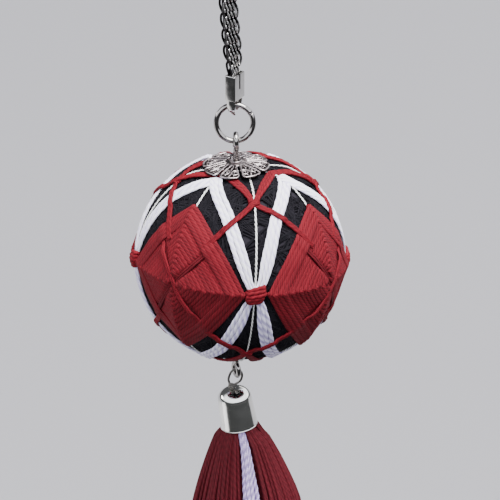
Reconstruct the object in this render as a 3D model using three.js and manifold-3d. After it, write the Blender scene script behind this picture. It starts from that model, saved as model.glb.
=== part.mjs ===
// A hanging temari ball charm: a thread-wound ball with an embroidered pattern of kites, zigzags and a net,
// a metal eye pin through it with a flower cap on top, a ring, a mesh chain strap above and a tassel below.
// Millimetres, +Z up. The origin is where the top ring hangs: the highest point of its inner edge.
// Azimuths are degrees from the front (-Y), positive towards +X.
import * as THREE from "three";
import { mergeVertices } from "three/addons/utils/BufferGeometryUtils.js";
import Module from "manifold-3d";

const wasm = await Module();
wasm.setup();

// Clearance between pieces that touch on the real object, and between curved layers with their facets
const GAP = 0.3;
const LAYER_GAP = 0.4;

// Ball and its layers of thread, as radii from the ball's centre
const BALL_DIAMETER = 40;
const WOUND_RADIUS = 0.477 * BALL_DIAMETER;
const LAYER_FLOOR = WOUND_RADIUS + LAYER_GAP;
const WHITE_TOP = LAYER_FLOOR + 0.25;
const NET_THICKNESS = 0.35;
const NET_HOP = WHITE_TOP + LAYER_GAP - LAYER_FLOOR;
const NET_HOP_REACH = { full: 2.8, gone: 4.2 };
const TIE_FLOOR = WHITE_TOP + GAP;
const TIE_THICKNESS = 0.65;

// The least cosine by which a band widens over a sharp corner
const MITRE_LIMIT = 0.7;

// The cap presses the threads down round the top of the ball
const DIP = { depth: 1.0, full: 14, gone: 30 };

// The pattern's pole leans off the pin: to the right and away from the front. Its front tie is turned a little.
const LEAN_RIGHT = 3.06;
const LEAN_BACK = 4.4;
const FRONT_TIE_AZIMUTH = 8.5;

// Longitudes of the simple division, eight meridians: ties alternate with kites
const DIVISION = [
  { tie: 0, kite: 47 },
  { tie: 88, kite: 134 },
  { tie: 180, kite: 226 },
  { tie: 272, kite: 313.5 },
];

// White zigzag: half width in mm, and its way from a kite meridian's apex to a tie,
// as colatitude and degrees of longitude from the tie on either side
const WHITE_HALF_WIDTH = 1.2;
const WHITE_WAY = [
  { colatitude: 26.5, left: 46.5, right: 47 },
  { colatitude: 30.5, left: 41, right: 39 },
  { colatitude: 38, left: 31, right: 27 },
  { colatitude: 48, left: 20.5, right: 16.5 },
  { colatitude: 57, left: 14.8, right: 11.5 },
  { colatitude: 66, left: 10.4, right: 8.2 },
  { colatitude: 75, left: 6.8, right: 5.6 },
  { colatitude: 83, left: 4, right: 3.6 },
  { colatitude: 86.5, left: 2.3, right: 2.3 },
];
const WHITE_PINCH = { from: 70, to: 86.5, share: 0.62 };

// Red net: half width, the colatitude of its apexes and crossings, and its way on to the next kite
const NET_HALF_WIDTH = 0.55;
const NET_APEX = 18.5;
const NET_CROSSING = 40;
const NET_WAY = [
  { colatitude: 45.5, left: 8, right: 12.5 },
  { colatitude: 50.5, left: 14, right: 20.5 },
  { colatitude: 57, left: 21, right: 28 },
  { colatitude: 64, left: 27.5, right: 34 },
];
const NET_LOWER = { apex: 162.5, crossing: 135, edge: 117, edgeLongitude: 27 };

// Kites: their floor over the ball, colatitude of the top apex, longitude kept clear of a tie, how far the sides bow out
const KITE_FLOOR = LAYER_FLOOR + 0.1;
const KITE_APEX = 46;
const KITE_TIE_CLEARANCE = 6.6;
const KITE_BOW = 0.5;
const KITE_RIDGE = 0.16;
const KITE_EDGE_STEPS = 6;
const KITE_ROWS = [
  { scale: 1, top: 19.72 },
  { scale: 0.965, top: 19.95 },
  { scale: 0.86, top: 20.08 },
  { scale: 0.77, top: 20.08 },
  { scale: 0.745, top: 19.9 },
  { scale: 0.5, top: 19.95 },
  { scale: 0.25, top: 20 },
];
const KITE_FLOOR_SCALES = [0.75, 0.5, 0.25];

// Ties: half sizes in mm and number of wraps
const TIE_HALF_WIDTH = 1.85;
const TIE_HALF_HEIGHT = 2;
const TIE_WRAPS = 5;

// Eye pin: one wire with an eye at each end
const PIN_WIRE = 0.5;
const EYE_RADIUS = 1.3;
const TOP_EYE_Z = 23.4;
const LOW_EYE_Z = -23.6;
const LOW_EYE_TURN = 22;
const BALL_OFFSET = 0.7;

// Flower cap: eight petals with slits between them
const CAP_FLOOR = WHITE_TOP + LAYER_GAP + 0.13;
const CAP_RADIUS = 6.3;
const CAP_THICKNESS = 0.45;
const CAP_PETALS = 8;
const CAP_SPOKES = 4;
const CAP_SCALLOP = 0.35;
const CAP_SLIT = { width: 0.4, from: 1.7 };
const CAP_TURN = 10;

// Jump ring, tilted back at its top
const RING_RADIUS = 3.4;
const RING_WIRE = 0.465;
const RING_TILT = 13;
const RING_X = -0.2;

// Strap of flat mesh chain between two folded clamps
const STRAP = { width: 3.35, thickness: 1.2, length: 32, drift: 1.45, upright: 0.75, turn: 42, clampTurn: 62 };
const CLAMP = { width: 3.6, thickness: 1.9, height: 4.9, corner: 0.45, aboveWire: 1.25 };
const CLAMP_SLIT = { width: 0.35, depth: 0.5, length: 2.9 };
const PRONG_THICKNESS = 0.36;
const FRONT_PRONG = [
  { out: -1.5, up: 1.5, half: 0.75 },
  { out: -1.5, up: 0.1, half: 0.7 },
  { out: -1.2, up: -1, half: 0.55 },
  { out: -0.2, up: -1.9, half: 0.4 },
];
const BACK_PRONG = [
  { out: 1.5, up: 1.5, half: 0.75 },
  { out: 1.5, up: 0.3, half: 0.7 },
  { out: 1.2, up: -0.5, half: 0.55 },
  { out: 0.5, up: -1.12, half: 0.45 },
];
const TOP_RING_RADIUS = 2.6;
const TOP_RING_WIRE = 0.4;

// Link of thin wire between the lower eye and the tassel cap: its loop round the eye's lower bar, from its tip on
const LINK_WIRE = 0.225;
const LINK_FOOT = 1.1;
const LINK_LOOP = [
  { x: -0.35, z: -27 },
  { x: 0.45, z: -26.5 },
  { x: 0.95, z: -25.8 },
  { x: 1.08, z: -24.9 },
  { x: 0.78, z: -24.13 },
  { x: 0, z: -23.85 },
  { x: -0.82, z: -24.13 },
  { x: -1.25, z: -24.9 },
  { x: -1.5, z: -26 },
  { x: -1.2, z: -26.95 },
];

// Tassel cap: a bell of revolution, its crown at the top, leaning with its foot to the right
const BELL = { x: -0.6, z: -27.6, lean: 8.5, wall: 0.35, hole: 0.75 };
const BELL_PROFILE = [
  { radius: 1.75, drop: 0.12 },
  { radius: 2.0, drop: 0.55 },
  { radius: 2.85, drop: 1.05 },
  { radius: 3.25, drop: 1.75 },
  { radius: 3.4, drop: 2.6 },
  { radius: 3.75, drop: 7.9 },
];

// Tassel: a bound head inside the cap and strands that open out below it
const HEAD = { x: 0.2, radius: 2.3, top: -31, bottom: -35 };
const STRAND_RINGS = [
  { share: 0, count: 1 },
  { share: 0.25, count: 6 },
  { share: 0.5, count: 12 },
  { share: 0.74, count: 18 },
  { share: 1, count: 22 },
];
const STRAND_END = -84.5;
const TASSEL_SPREAD = [
  { z: -34.4, x: 0.25, half: 2.1, depth: 1, strand: 0.27 },
  { z: -36.2, x: 0.5, half: 2.7, depth: 0.97, strand: 0.3 },
  { z: -38.3, x: 0.72, half: 4.45, depth: 0.93, strand: 0.4 },
  { z: -44, x: 1.25, half: 7.1, depth: 0.9, strand: 0.56 },
  { z: -52, x: 1.9, half: 9, depth: 0.88, strand: 0.74 },
  { z: STRAND_END, x: 3, half: 11.8, depth: 0.88, strand: 0.62 },
];
const WHITE_LOCK = { azimuth: 9, step: 6, share: 1.17, clear: 34, width: 1, front: 2.65, back: 2.2 };

// Heights that follow from the sizes above, from the ball's centre
const RING_FOOT_Z = TOP_EYE_Z;
const RING_TOP_Z = RING_FOOT_Z + 2 * RING_RADIUS * Math.cos(radians(RING_TILT));
const RING_TOP_Y = 2 * RING_RADIUS * Math.sin(radians(RING_TILT));
const CLAMP_FOOT_Z = RING_TOP_Z + CLAMP.aboveWire;
const STRAP_FOOT = new THREE.Vector3(RING_X, RING_TOP_Y, CLAMP_FOOT_Z + CLAMP.height + GAP);
const STRAP_TOP_X = STRAP_FOOT.x - STRAP.drift;
const UPPER_CLAMP_Z = STRAP_FOOT.z + STRAP.length + GAP;
const TOP_WIRE_Z = UPPER_CLAMP_Z + CLAMP.height + CLAMP.aboveWire;
const HANG_POINT = new THREE.Vector3(
  STRAP_TOP_X,
  RING_TOP_Y,
  TOP_WIRE_Z + 2 * TOP_RING_RADIUS - TOP_RING_WIRE,
);
const BALL_CENTRE = new THREE.Vector3(BALL_OFFSET, 0, 0);

// Materials
const BLACK_THREAD = { color: 0x22252b, roughness: 0.9, metalness: 0 };
const RED_THREAD = { color: 0x9a2230, roughness: 0.75, metalness: 0 };
const WHITE_THREAD = { color: 0xe6e4ef, roughness: 0.75, metalness: 0 };
const NICKEL = { color: 0xb9b7b2, roughness: 0.25, metalness: 1 };

function radians(degrees) {
  return (degrees * Math.PI) / 180;
}

function smoothstep(from, to, value) {
  const t = THREE.MathUtils.clamp((value - from) / (to - from), 0, 1);
  return t * t * (3 - 2 * t);
}

// A closed geometry as a manifold solid.
function solid(geometry) {
  const bare = geometry.clone();
  bare.deleteAttribute("normal");
  bare.deleteAttribute("uv");
  const merged = mergeVertices(bare, 1e-4);
  return new wasm.Manifold(
    new wasm.Mesh({
      numProp: 3,
      vertProperties: merged.attributes.position.array,
      triVerts: new Uint32Array(merged.index.array),
    }),
  );
}

// A manifold solid as a geometry.
function geometryOf(body) {
  const { vertProperties, triVerts } = body.getMesh();
  const geometry = new THREE.BufferGeometry();
  geometry.setAttribute("position", new THREE.BufferAttribute(vertProperties, 3));
  geometry.setIndex(new THREE.BufferAttribute(triVerts, 1));
  geometry.computeVertexNormals();
  return geometry;
}

function union(geometries) {
  const joined = geometries.map(solid).reduce((sum, piece) => sum.add(piece));
  return geometryOf(joined);
}

// A geometry from points and faces, turned to face outwards.
function closedGeometry(points, faces) {
  let volume = 0;
  for (const [a, b, c] of faces) {
    volume += points[a].dot(new THREE.Vector3().crossVectors(points[b], points[c]));
  }
  const index = faces.flatMap(([a, b, c]) => (volume > 0 ? [a, b, c] : [a, c, b]));
  const geometry = new THREE.BufferGeometry().setFromPoints(points);
  geometry.setIndex(index);
  return geometry;
}

// A skin over rings of points: each ring has the same count, and the ends are capped unless the loft is a loop.
function loft(rings, { loop = false } = {}) {
  const count = rings[0].length;
  const points = rings.flat();
  const faces = [];
  const spans = loop ? rings.length : rings.length - 1;
  for (let i = 0; i < spans; i++) {
    const here = i * count;
    const next = ((i + 1) % rings.length) * count;
    for (let j = 0; j < count; j++) {
      const k = (j + 1) % count;
      faces.push([here + j, here + k, next + k], [here + j, next + k, next + j]);
    }
  }
  if (!loop) {
    const last = (rings.length - 1) * count;
    for (let j = 1; j < count - 1; j++) {
      faces.push([0, j + 1, j], [last, last + j, last + j + 1]);
    }
  }
  return closedGeometry(points, faces);
}

// A round wire along a curve.
function wire(curve, radius, steps, sides = 8) {
  const section = new THREE.Shape();
  section.absarc(0, 0, radius, 0, 2 * Math.PI);
  return new THREE.ExtrudeGeometry(section, {
    curveSegments: sides / 2,
    steps,
    bevelEnabled: false,
    extrudePath: curve,
  });
}

// A unit direction of the pattern in the object's frame.
const LEAN = new THREE.Matrix4()
  .makeRotationX(radians(-LEAN_BACK))
  .multiply(new THREE.Matrix4().makeRotationY(radians(LEAN_RIGHT)))
  .multiply(new THREE.Matrix4().makeRotationZ(radians(FRONT_TIE_AZIMUTH)));

function direction(colatitude, longitude) {
  const across = Math.sin(radians(colatitude));
  return new THREE.Vector3(
    across * Math.sin(radians(longitude)),
    -across * Math.cos(radians(longitude)),
    Math.cos(radians(colatitude)),
  ).applyMatrix4(LEAN);
}

// The point at a layer's radius along a direction, let down where the cap presses the threads.
function onLayer(towards, radius) {
  const offPin = THREE.MathUtils.radToDeg(Math.acos(THREE.MathUtils.clamp(towards.z, -1, 1)));
  const dip = DIP.depth * (1 - smoothstep(DIP.full, DIP.gone, offPin));
  return towards.clone().multiplyScalar(radius - dip);
}

function slerp(from, to, t) {
  const angle = from.angleTo(to);
  if (angle < 1e-6) {
    return from.clone();
  }
  const a = Math.sin((1 - t) * angle) / Math.sin(angle);
  const b = Math.sin(t * angle) / Math.sin(angle);
  return from.clone().multiplyScalar(a).addScaledVector(to, b);
}

// Directions along the great circles that join the given ones, in even steps of each stretch.
function arcs(corners, steps) {
  const out = [corners[0].clone()];
  for (let i = 1; i < corners.length; i++) {
    for (let s = 1; s <= steps[i - 1]; s++) {
      out.push(slerp(corners[i - 1], corners[i], s / steps[i - 1]));
    }
  }
  return out;
}

// A flat band of thread over the ball. Each station has its direction, half width, floor and top radius.
function band(stations, { loop = false } = {}) {
  const n = stations.length;
  const rings = stations.map((station, i) => {
    const before = stations[loop ? (i + n - 1) % n : Math.max(i - 1, 0)].towards;
    const after = stations[loop ? (i + 1) % n : Math.min(i + 1, n - 1)].towards;
    const inward = station.towards.clone().sub(before).normalize();
    const outward = after.clone().sub(station.towards).normalize();
    const along = inward.add(outward).normalize();
    const straight = after.clone().sub(before).normalize();
    const turn = i > 0 || loop ? Math.max(turnShare(before, station.towards, after), MITRE_LIMIT) : 1;
    const side = new THREE.Vector3().crossVectors(station.towards, along.lengthSq() ? along : straight);
    side.normalize().multiplyScalar(station.half / station.top / turn);
    const left = station.towards.clone().sub(side).normalize();
    const right = station.towards.clone().add(side).normalize();
    const edgeTop = station.top - 0.3 * (station.top - station.floor);
    if (station.flat) {
      return [
        onLayer(left, station.floor),
        onLayer(left, station.top),
        onLayer(right, station.top),
        onLayer(right, station.floor),
      ];
    }
    return [
      onLayer(left, station.floor),
      onLayer(left, edgeTop),
      onLayer(station.towards, station.top),
      onLayer(right, edgeTop),
      onLayer(right, station.floor),
      onLayer(station.towards, station.floor),
    ];
  });
  return loft(rings, { loop });
}

// Cosine of half the turn at a corner of a way: a band is wider across a mitre by its inverse.
function turnShare(before, here, after) {
  const a = here.clone().sub(before);
  const b = after.clone().sub(here);
  if (a.lengthSq() < 1e-9 || b.lengthSq() < 1e-9) {
    return 1;
  }
  return Math.cos(a.angleTo(b) / 2);
}

// Degrees of longitude from a tie to the kite beside it.
function kiteSpan(index, side) {
  const kite = side > 0 ? DIVISION[index].kite : DIVISION[(index + 3) % 4].kite;
  const span = Math.abs(kite - DIVISION[index].tie);
  return Math.min(span, 360 - span);
}

// The way of the white zigzag beside one tie, from the apex to the tie, on the right (1) or left (-1) of it.
function whiteWay(index, side) {
  const key = side > 0 ? "right" : "left";
  const share = kiteSpan(index, side) / WHITE_WAY[0][key];
  return WHITE_WAY.map((row) => ({
    colatitude: row.colatitude,
    longitude: DIVISION[index].tie + side * row[key] * share,
  }));
}

function whiteStation({ colatitude, longitude }, lower) {
  const pinched = smoothstep(WHITE_PINCH.from, WHITE_PINCH.to, colatitude);
  return {
    towards: direction(lower ? 180 - colatitude : colatitude, longitude),
    half: WHITE_HALF_WIDTH * (1 - (1 - WHITE_PINCH.share) * pinched),
    floor: LAYER_FLOOR,
    top: WHITE_TOP,
  };
}

// The whole zigzag round the ball: down to each tie and up to each apex.
function whiteZigzag(lower) {
  const stations = [];
  DIVISION.forEach((_, index) => {
    const down = whiteWay(index, -1);
    const up = whiteWay(index, 1).reverse();
    stations.push(...down.map((point) => whiteStation(point, lower)));
    stations.push(...up.slice(0, -1).map((point) => whiteStation(point, lower)));
  });
  return band(stations, { loop: true });
}

// Radius that the net adds at a point to clear the white zigzag under it.
function hopAt(towards, whites) {
  const nearest = Math.min(...whites.map((white) => towards.angleTo(white))) * WHITE_TOP;
  return NET_HOP * (1 - smoothstep(NET_HOP_REACH.full, NET_HOP_REACH.gone, nearest));
}

// Directions close together along the white zigzag's branches beside the ties.
function whiteCentres(lower) {
  return DIVISION.flatMap((_, index) =>
    [-1, 1].flatMap((side) => {
      const way = whiteWay(index, side).slice(2, 7);
      const corners = way.map((p) => direction(lower ? 180 - p.colatitude : p.colatitude, p.longitude));
      return arcs(corners, corners.slice(1).map(() => 8));
    }),
  );
}

// One band of the net: from the apex over a kite meridian, through the crossing, towards the next kite.
function netBand(index, side, lower, whites) {
  const tie = DIVISION[index].tie;
  const key = side > 0 ? "right" : "left";
  const share = kiteSpan(index, side) / kiteSpan(0, side);
  const apex = lower ? NET_LOWER.apex : NET_APEX;
  const crossing = lower ? NET_LOWER.crossing : NET_CROSSING;
  const way = lower
    ? [direction(NET_LOWER.edge, tie + side * NET_LOWER.edgeLongitude * share)]
    : NET_WAY.map((row) => direction(row.colatitude, tie + side * row[key] * share));
  const corners = [
    direction(apex, tie - side * kiteSpan(index, -side)),
    direction(crossing, tie),
    ...way,
  ];
  const steps = [3, ...way.map(() => (lower ? 8 : 2))];
  const stations = arcs(corners, steps).map((towards) => {
    const hop = hopAt(towards, whites);
    return {
      towards,
      half: NET_HALF_WIDTH,
      floor: LAYER_FLOOR + hop,
      top: LAYER_FLOOR + hop + NET_THICKNESS,
      flat: true,
    };
  });
  return band(stations);
}

// A small pad of thread at a net apex, where two bands turn.
function netApex(index, lower) {
  const apex = lower ? NET_LOWER.apex : NET_APEX;
  const kite = DIVISION[index].kite;
  const reach = 4;
  const stations = [-reach, 0, reach].map((step) => ({
    towards: direction(apex, kite + step),
    half: NET_HALF_WIDTH,
    floor: LAYER_FLOOR,
    top: LAYER_FLOOR + NET_THICKNESS + 0.05,
    flat: true,
  }));
  return band(stations);
}

function net(lower) {
  const whites = whiteCentres(lower);
  const bands = DIVISION.flatMap((_, index) => [-1, 1].map((side) => netBand(index, side, lower, whites)));
  const pads = DIVISION.map((_, index) => netApex(index, lower));
  let body = solid(union([...bands, ...pads]));
  DIVISION.forEach((_, index) => {
    body = body.subtract(solid(kiteRoom(index)));
  });
  return geometryOf(body);
}

// The four corners of a kite, and its centre.
function kiteCorners(index) {
  const { tie, kite } = DIVISION[index];
  const next = index === 3 ? DIVISION[0].tie + 360 : DIVISION[index + 1].tie;
  return {
    centre: direction(90, kite),
    corners: [
      direction(KITE_APEX, kite),
      direction(90, next - KITE_TIE_CLEARANCE),
      direction(180 - KITE_APEX, kite),
      direction(90, tie + KITE_TIE_CLEARANCE),
    ],
  };
}

// The directions round one nested rhombus of a kite, with how close each is to a corner, 1 to 0.
function kiteRing(index, scale) {
  const { centre, corners } = kiteCorners(index);
  const shrunk = corners.map((corner) => slerp(centre, corner, scale));
  const ring = [];
  shrunk.forEach((from, c) => {
    const to = shrunk[(c + 1) % 4];
    const out = new THREE.Vector3().crossVectors(from, to).normalize();
    out.multiplyScalar(-Math.sign(out.dot(centre)));
    for (let s = 0; s < KITE_EDGE_STEPS; s++) {
      const t = s / KITE_EDGE_STEPS;
      const bow = (KITE_BOW / KITE_ROWS[1].top) * scale * 4 * t * (1 - t);
      const towards = slerp(from, to, t).addScaledVector(out, bow).normalize();
      ring.push({ towards, corner: Math.max(1 - 3.5 * Math.min(t, 1 - t), 0) });
    }
  });
  return ring;
}

// A kite: nested rows of thread that meet in ridges, over a floor that follows the ball.
function kite(index) {
  const { centre } = kiteCorners(index);
  const levels = [
    ...KITE_FLOOR_SCALES.map((scale) => ({ scale, floor: true })).reverse(),
    { scale: 1, floor: true },
    ...KITE_ROWS,
  ];
  const rings = levels.map(({ scale, floor, top }) =>
    kiteRing(index, scale).map(({ towards, corner }) =>
      onLayer(towards, floor ? KITE_FLOOR : top + KITE_RIDGE * corner),
    ),
  );
  const count = rings[0].length;
  const points = rings.flat();
  const faces = [];
  for (let i = 0; i < rings.length - 1; i++) {
    for (let j = 0; j < count; j++) {
      const k = (j + 1) % count;
      const [here, next] = [i * count, (i + 1) * count];
      faces.push([here + j, here + k, next + k], [here + j, next + k, next + j]);
    }
  }
  const bottom = points.push(onLayer(centre, KITE_FLOOR)) - 1;
  const peak = points.push(onLayer(centre, KITE_ROWS.at(-1).top + KITE_RIDGE)) - 1;
  const last = (rings.length - 1) * count;
  for (let j = 0; j < count; j++) {
    const k = (j + 1) % count;
    faces.push([bottom, k, j], [peak, last + j, last + k]);
  }
  return closedGeometry(points, faces);
}

// The room that a kite takes with its clearance, as a thick wedge, to cut the net's ends by.
function kiteRoom(index) {
  const grown = 1 + (GAP + 0.1) / 10.3;
  const ring = kiteRing(index, grown);
  const { centre } = kiteCorners(index);
  const [inner, outer] = [0.8 * WOUND_RADIUS, 1.2 * WOUND_RADIUS];
  const points = [
    ...ring.map(({ towards }) => towards.clone().multiplyScalar(inner)),
    ...ring.map(({ towards }) => towards.clone().multiplyScalar(outer)),
    centre.clone().multiplyScalar(inner),
    centre.clone().multiplyScalar(outer),
  ];
  const n = ring.length;
  const faces = [];
  for (let j = 0; j < n; j++) {
    const k = (j + 1) % n;
    faces.push([j, k, n + k], [j, n + k, n + j], [2 * n, k, j], [2 * n + 1, n + j, n + k]);
  }
  return closedGeometry(points, faces);
}

// A tie: thread wrapped over the crossing on the equator, as a pad with one ridge for each wrap.
function tie(index) {
  const longitude = DIVISION[index].tie;
  const rows = 2 * TIE_WRAPS;
  const columns = 4;
  const rings = [];
  for (let i = 0; i <= rows; i++) {
    const up = (2 * i) / rows - 1;
    const ridge = i % 2 ? 1 : 0.72;
    const width = TIE_HALF_WIDTH * Math.sqrt(1 - 0.45 * up * up);
    const ring = [];
    for (const level of ["floor", "top"]) {
      for (let j = 0; j <= columns; j++) {
        const across = (2 * j) / columns - 1;
        const sign = level === "floor" ? -1 : 1;
        const x = (sign * across * width) / TIE_FLOOR;
        const y = (up * TIE_HALF_HEIGHT) / TIE_FLOOR;
        const towards = direction(90 - THREE.MathUtils.radToDeg(y), longitude + THREE.MathUtils.radToDeg(x));
        const crown = Math.sqrt(Math.max(1 - 0.8 * across * across, 0)) * Math.sqrt(1 - 0.6 * up * up);
        const rise = level === "floor" ? 0 : 0.12 + TIE_THICKNESS * ridge * crown;
        ring.push(onLayer(towards, TIE_FLOOR + rise));
      }
    }
    rings.push(ring);
  }
  return loft(rings);
}

// The wound ball, dipped at the top, with the bore that grips the pin.
function woundBall() {
  const profile = [];
  const steps = 24;
  for (let i = 0; i <= steps; i++) {
    const polar = (Math.PI * i) / steps;
    const towards = new THREE.Vector3(Math.sin(polar), 0, Math.cos(polar));
    const point = onLayer(towards, WOUND_RADIUS);
    profile.push(new THREE.Vector2(i % steps ? point.x : 0, point.z));
  }
  const ball = new THREE.LatheGeometry(profile.reverse(), 32).rotateX(Math.PI / 2);
  const bore = new THREE.CylinderGeometry(PIN_WIRE + GAP, PIN_WIRE + GAP, 3 * WOUND_RADIUS, 12);
  bore.rotateX(Math.PI / 2).translate(-BALL_OFFSET, 0, 0);
  return geometryOf(solid(ball).subtract(solid(bore)));
}

function torus(radius, tube, sides, steps) {
  return new THREE.TorusGeometry(radius, tube, sides, steps);
}

// The pin: a straight shank and two eyes. The upper eye is seen edge on from the front.
function eyePin() {
  const top = torus(EYE_RADIUS, PIN_WIRE, 8, 16);
  top.rotateX(Math.PI / 2).rotateZ(Math.PI / 2).rotateX(Math.PI / 2).translate(0, 0, TOP_EYE_Z);
  const low = torus(EYE_RADIUS, PIN_WIRE, 8, 16);
  low.rotateY(Math.PI / 2).rotateZ(radians(LOW_EYE_TURN)).translate(0, 0, LOW_EYE_Z);
  const from = LOW_EYE_Z + EYE_RADIUS;
  const to = TOP_EYE_Z - EYE_RADIUS;
  const shank = new THREE.CylinderGeometry(PIN_WIRE, PIN_WIRE, to - from, 12);
  shank.rotateX(Math.PI / 2).translate(0, 0, (from + to) / 2);
  return union([top, low, shank]);
}

// The flower cap follows the ball under it; its petals are parted by slits.
function flowerCap() {
  const spokes = CAP_SPOKES * CAP_PETALS;
  const radii = [PIN_WIRE + GAP, 2, 3.4, 4.8, 1];
  const rings = [];
  for (let i = 0; i < spokes; i++) {
    const angle = (2 * Math.PI * i) / spokes;
    const scallop = CAP_SCALLOP * Math.abs(Math.sin((CAP_PETALS * angle) / 2)) - CAP_SCALLOP;
    const rim = CAP_RADIUS + scallop;
    const reach = radii.map((radius, j) => (j === radii.length - 1 ? rim : radius));
    const under = reach.map((radius) => capPoint(radius, angle, 0));
    const over = reach.map((radius, j) => capPoint(radius, angle, j === reach.length - 1 ? 0.6 : 1));
    rings.push([...under, ...over.reverse()]);
  }
  let body = solid(loft(rings, { loop: true }));
  for (let i = 0; i < CAP_PETALS; i++) {
    const angle = (2 * Math.PI * i) / CAP_PETALS;
    const slit = new THREE.BoxGeometry(2 * CAP_RADIUS, CAP_SLIT.width, 3 * CAP_RADIUS);
    slit.translate(CAP_SLIT.from + CAP_RADIUS, 0, WOUND_RADIUS).rotateZ(angle);
    body = body.subtract(solid(slit));
  }
  return geometryOf(body).rotateZ(radians(CAP_TURN));
}

// A point of the cap at a radius and angle about the pin, on its underside (0) or its top (1).
function capPoint(radius, angle, level) {
  const x = radius * Math.cos(angle);
  const y = radius * Math.sin(angle);
  const floor = CAP_FLOOR + CAP_THICKNESS * level;
  const towards = new THREE.Vector3(x - BALL_OFFSET, y, 0);
  const flat = towards.length();
  const tilt = Math.asin(flat / floor);
  const dip = DIP.depth * (1 - smoothstep(DIP.full, DIP.gone, THREE.MathUtils.radToDeg(tilt)));
  return new THREE.Vector3(x, y, Math.sqrt((floor - dip) ** 2 - flat * flat));
}

function jumpRing(radius, tube, steps) {
  return torus(radius, tube, 8, steps).rotateX(Math.PI / 2);
}

// A strip bent along a way in the clamp's broad plane.
function prong(rows) {
  const rings = rows.map((row, i) => {
    const before = rows[Math.max(i - 1, 0)];
    const after = rows[Math.min(i + 1, rows.length - 1)];
    const along = new THREE.Vector2(after.out - before.out, after.up - before.up).normalize();
    const across = new THREE.Vector2(along.y, -along.x).multiplyScalar(PRONG_THICKNESS / 2);
    return [
      new THREE.Vector3(row.out - across.x, -row.half, row.up - across.y),
      new THREE.Vector3(row.out + across.x, -row.half, row.up + across.y),
      new THREE.Vector3(row.out + across.x, row.half, row.up + across.y),
      new THREE.Vector3(row.out - across.x, row.half, row.up - across.y),
    ];
  });
  return loft(rings);
}

// A folded clamp, its ring wire at the origin: a box with a slit in one broad side, and two prongs under the wire.
function clamp() {
  const [halfWidth, halfDepth, corner] = [CLAMP.width / 2, CLAMP.thickness / 2, CLAMP.corner];
  const outline = new THREE.Shape();
  outline.moveTo(corner - halfWidth, -halfDepth);
  outline.lineTo(halfWidth - corner, -halfDepth);
  outline.absarc(halfWidth - corner, corner - halfDepth, corner, -Math.PI / 2, 0);
  outline.lineTo(halfWidth, halfDepth - corner);
  outline.absarc(halfWidth - corner, halfDepth - corner, corner, 0, Math.PI / 2);
  outline.lineTo(corner - halfWidth, halfDepth);
  outline.absarc(corner - halfWidth, halfDepth - corner, corner, Math.PI / 2, Math.PI);
  outline.lineTo(-halfWidth, corner - halfDepth);
  outline.absarc(corner - halfWidth, corner - halfDepth, corner, Math.PI, 1.5 * Math.PI);
  const box = new THREE.ExtrudeGeometry(outline, { depth: CLAMP.height, bevelEnabled: false, curveSegments: 3 });
  box.translate(0, 0, CLAMP.aboveWire);
  const slit = new THREE.BoxGeometry(CLAMP_SLIT.width, CLAMP_SLIT.depth, CLAMP_SLIT.length + 1);
  slit.translate(0, -halfDepth, CLAMP.aboveWire + CLAMP.height - CLAMP_SLIT.length / 2 + 0.5);
  const body = solid(union([box, prong(FRONT_PRONG), prong(BACK_PRONG)])).subtract(solid(slit));
  return geometryOf(body);
}

// The strap's centre line: out of the lower clamp leaning to the left, then upright to the upper clamp.
function strapPoint(t) {
  const x = STRAP_FOOT.x - STRAP.drift * Math.sin((Math.min(t / STRAP.upright, 1) * Math.PI) / 2);
  return new THREE.Vector3(x, RING_TOP_Y, STRAP_FOOT.z + STRAP.length * t);
}

// The strap as a flat bar that twists from the clamp's angle to its own.
function strap() {
  const steps = 16;
  const section = [
    [-0.5, -0.3],
    [-0.38, -0.5],
    [0.38, -0.5],
    [0.5, -0.3],
    [0.5, 0.3],
    [0.38, 0.5],
    [-0.38, 0.5],
    [-0.5, 0.3],
  ];
  const rings = [];
  for (let i = 0; i <= steps; i++) {
    const t = i / steps;
    const centre = strapPoint(t);
    const turn = radians(STRAP.turn + (STRAP.clampTurn - STRAP.turn) * (1 - smoothstep(0, 0.35, t)));
    rings.push(
      section.map(([u, v]) => {
        const [x, y] = [u * STRAP.width, v * STRAP.thickness];
        return new THREE.Vector3(
          centre.x + x * Math.cos(turn) - y * Math.sin(turn),
          centre.y + x * Math.sin(turn) + y * Math.cos(turn),
          centre.z,
        );
      }),
    );
  }
  return loft(rings);
}

// The link: a teardrop of wire hung in the lower eye, its stem through the tassel cap's hole to a bent foot.
function link() {
  const stem = new THREE.Vector3(BELL.x, 0, BELL.z);
  const down = new THREE.Vector3(Math.sin(radians(BELL.lean)), 0, -Math.cos(radians(BELL.lean)));
  const drop = new THREE.CatmullRomCurve3([
    ...LINK_LOOP.map(({ x, z }) => new THREE.Vector3(x, 0, z)),
    stem.clone().addScaledVector(down, 0.4),
    stem.clone().addScaledVector(down, 1.6),
    stem.clone().addScaledVector(down, 2.1).add(new THREE.Vector3(0.5, 0, 0)),
    stem.clone().addScaledVector(down, 1.9).add(new THREE.Vector3(LINK_FOOT, 0, 0)),
  ]);
  return wire(drop, LINK_WIRE, 34, 6);
}

// The tassel cap, turned from its profile: outside down, then inside up to the hole.
function tasselCap() {
  const outside = [{ radius: BELL.hole, drop: 0 }, ...BELL_PROFILE];
  const inside = outside
    .map(({ radius, drop }, i) => ({
      radius: i ? Math.max(radius - BELL.wall, BELL.hole) : BELL.hole,
      drop: i === outside.length - 1 ? drop : drop + BELL.wall,
    }))
    .reverse();
  const profile = [...outside, ...inside].map(({ radius, drop }) => new THREE.Vector2(radius, -drop)).reverse();
  profile.push(profile[0].clone());
  return new THREE.LatheGeometry(profile, 24).rotateX(Math.PI / 2);
}

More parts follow.
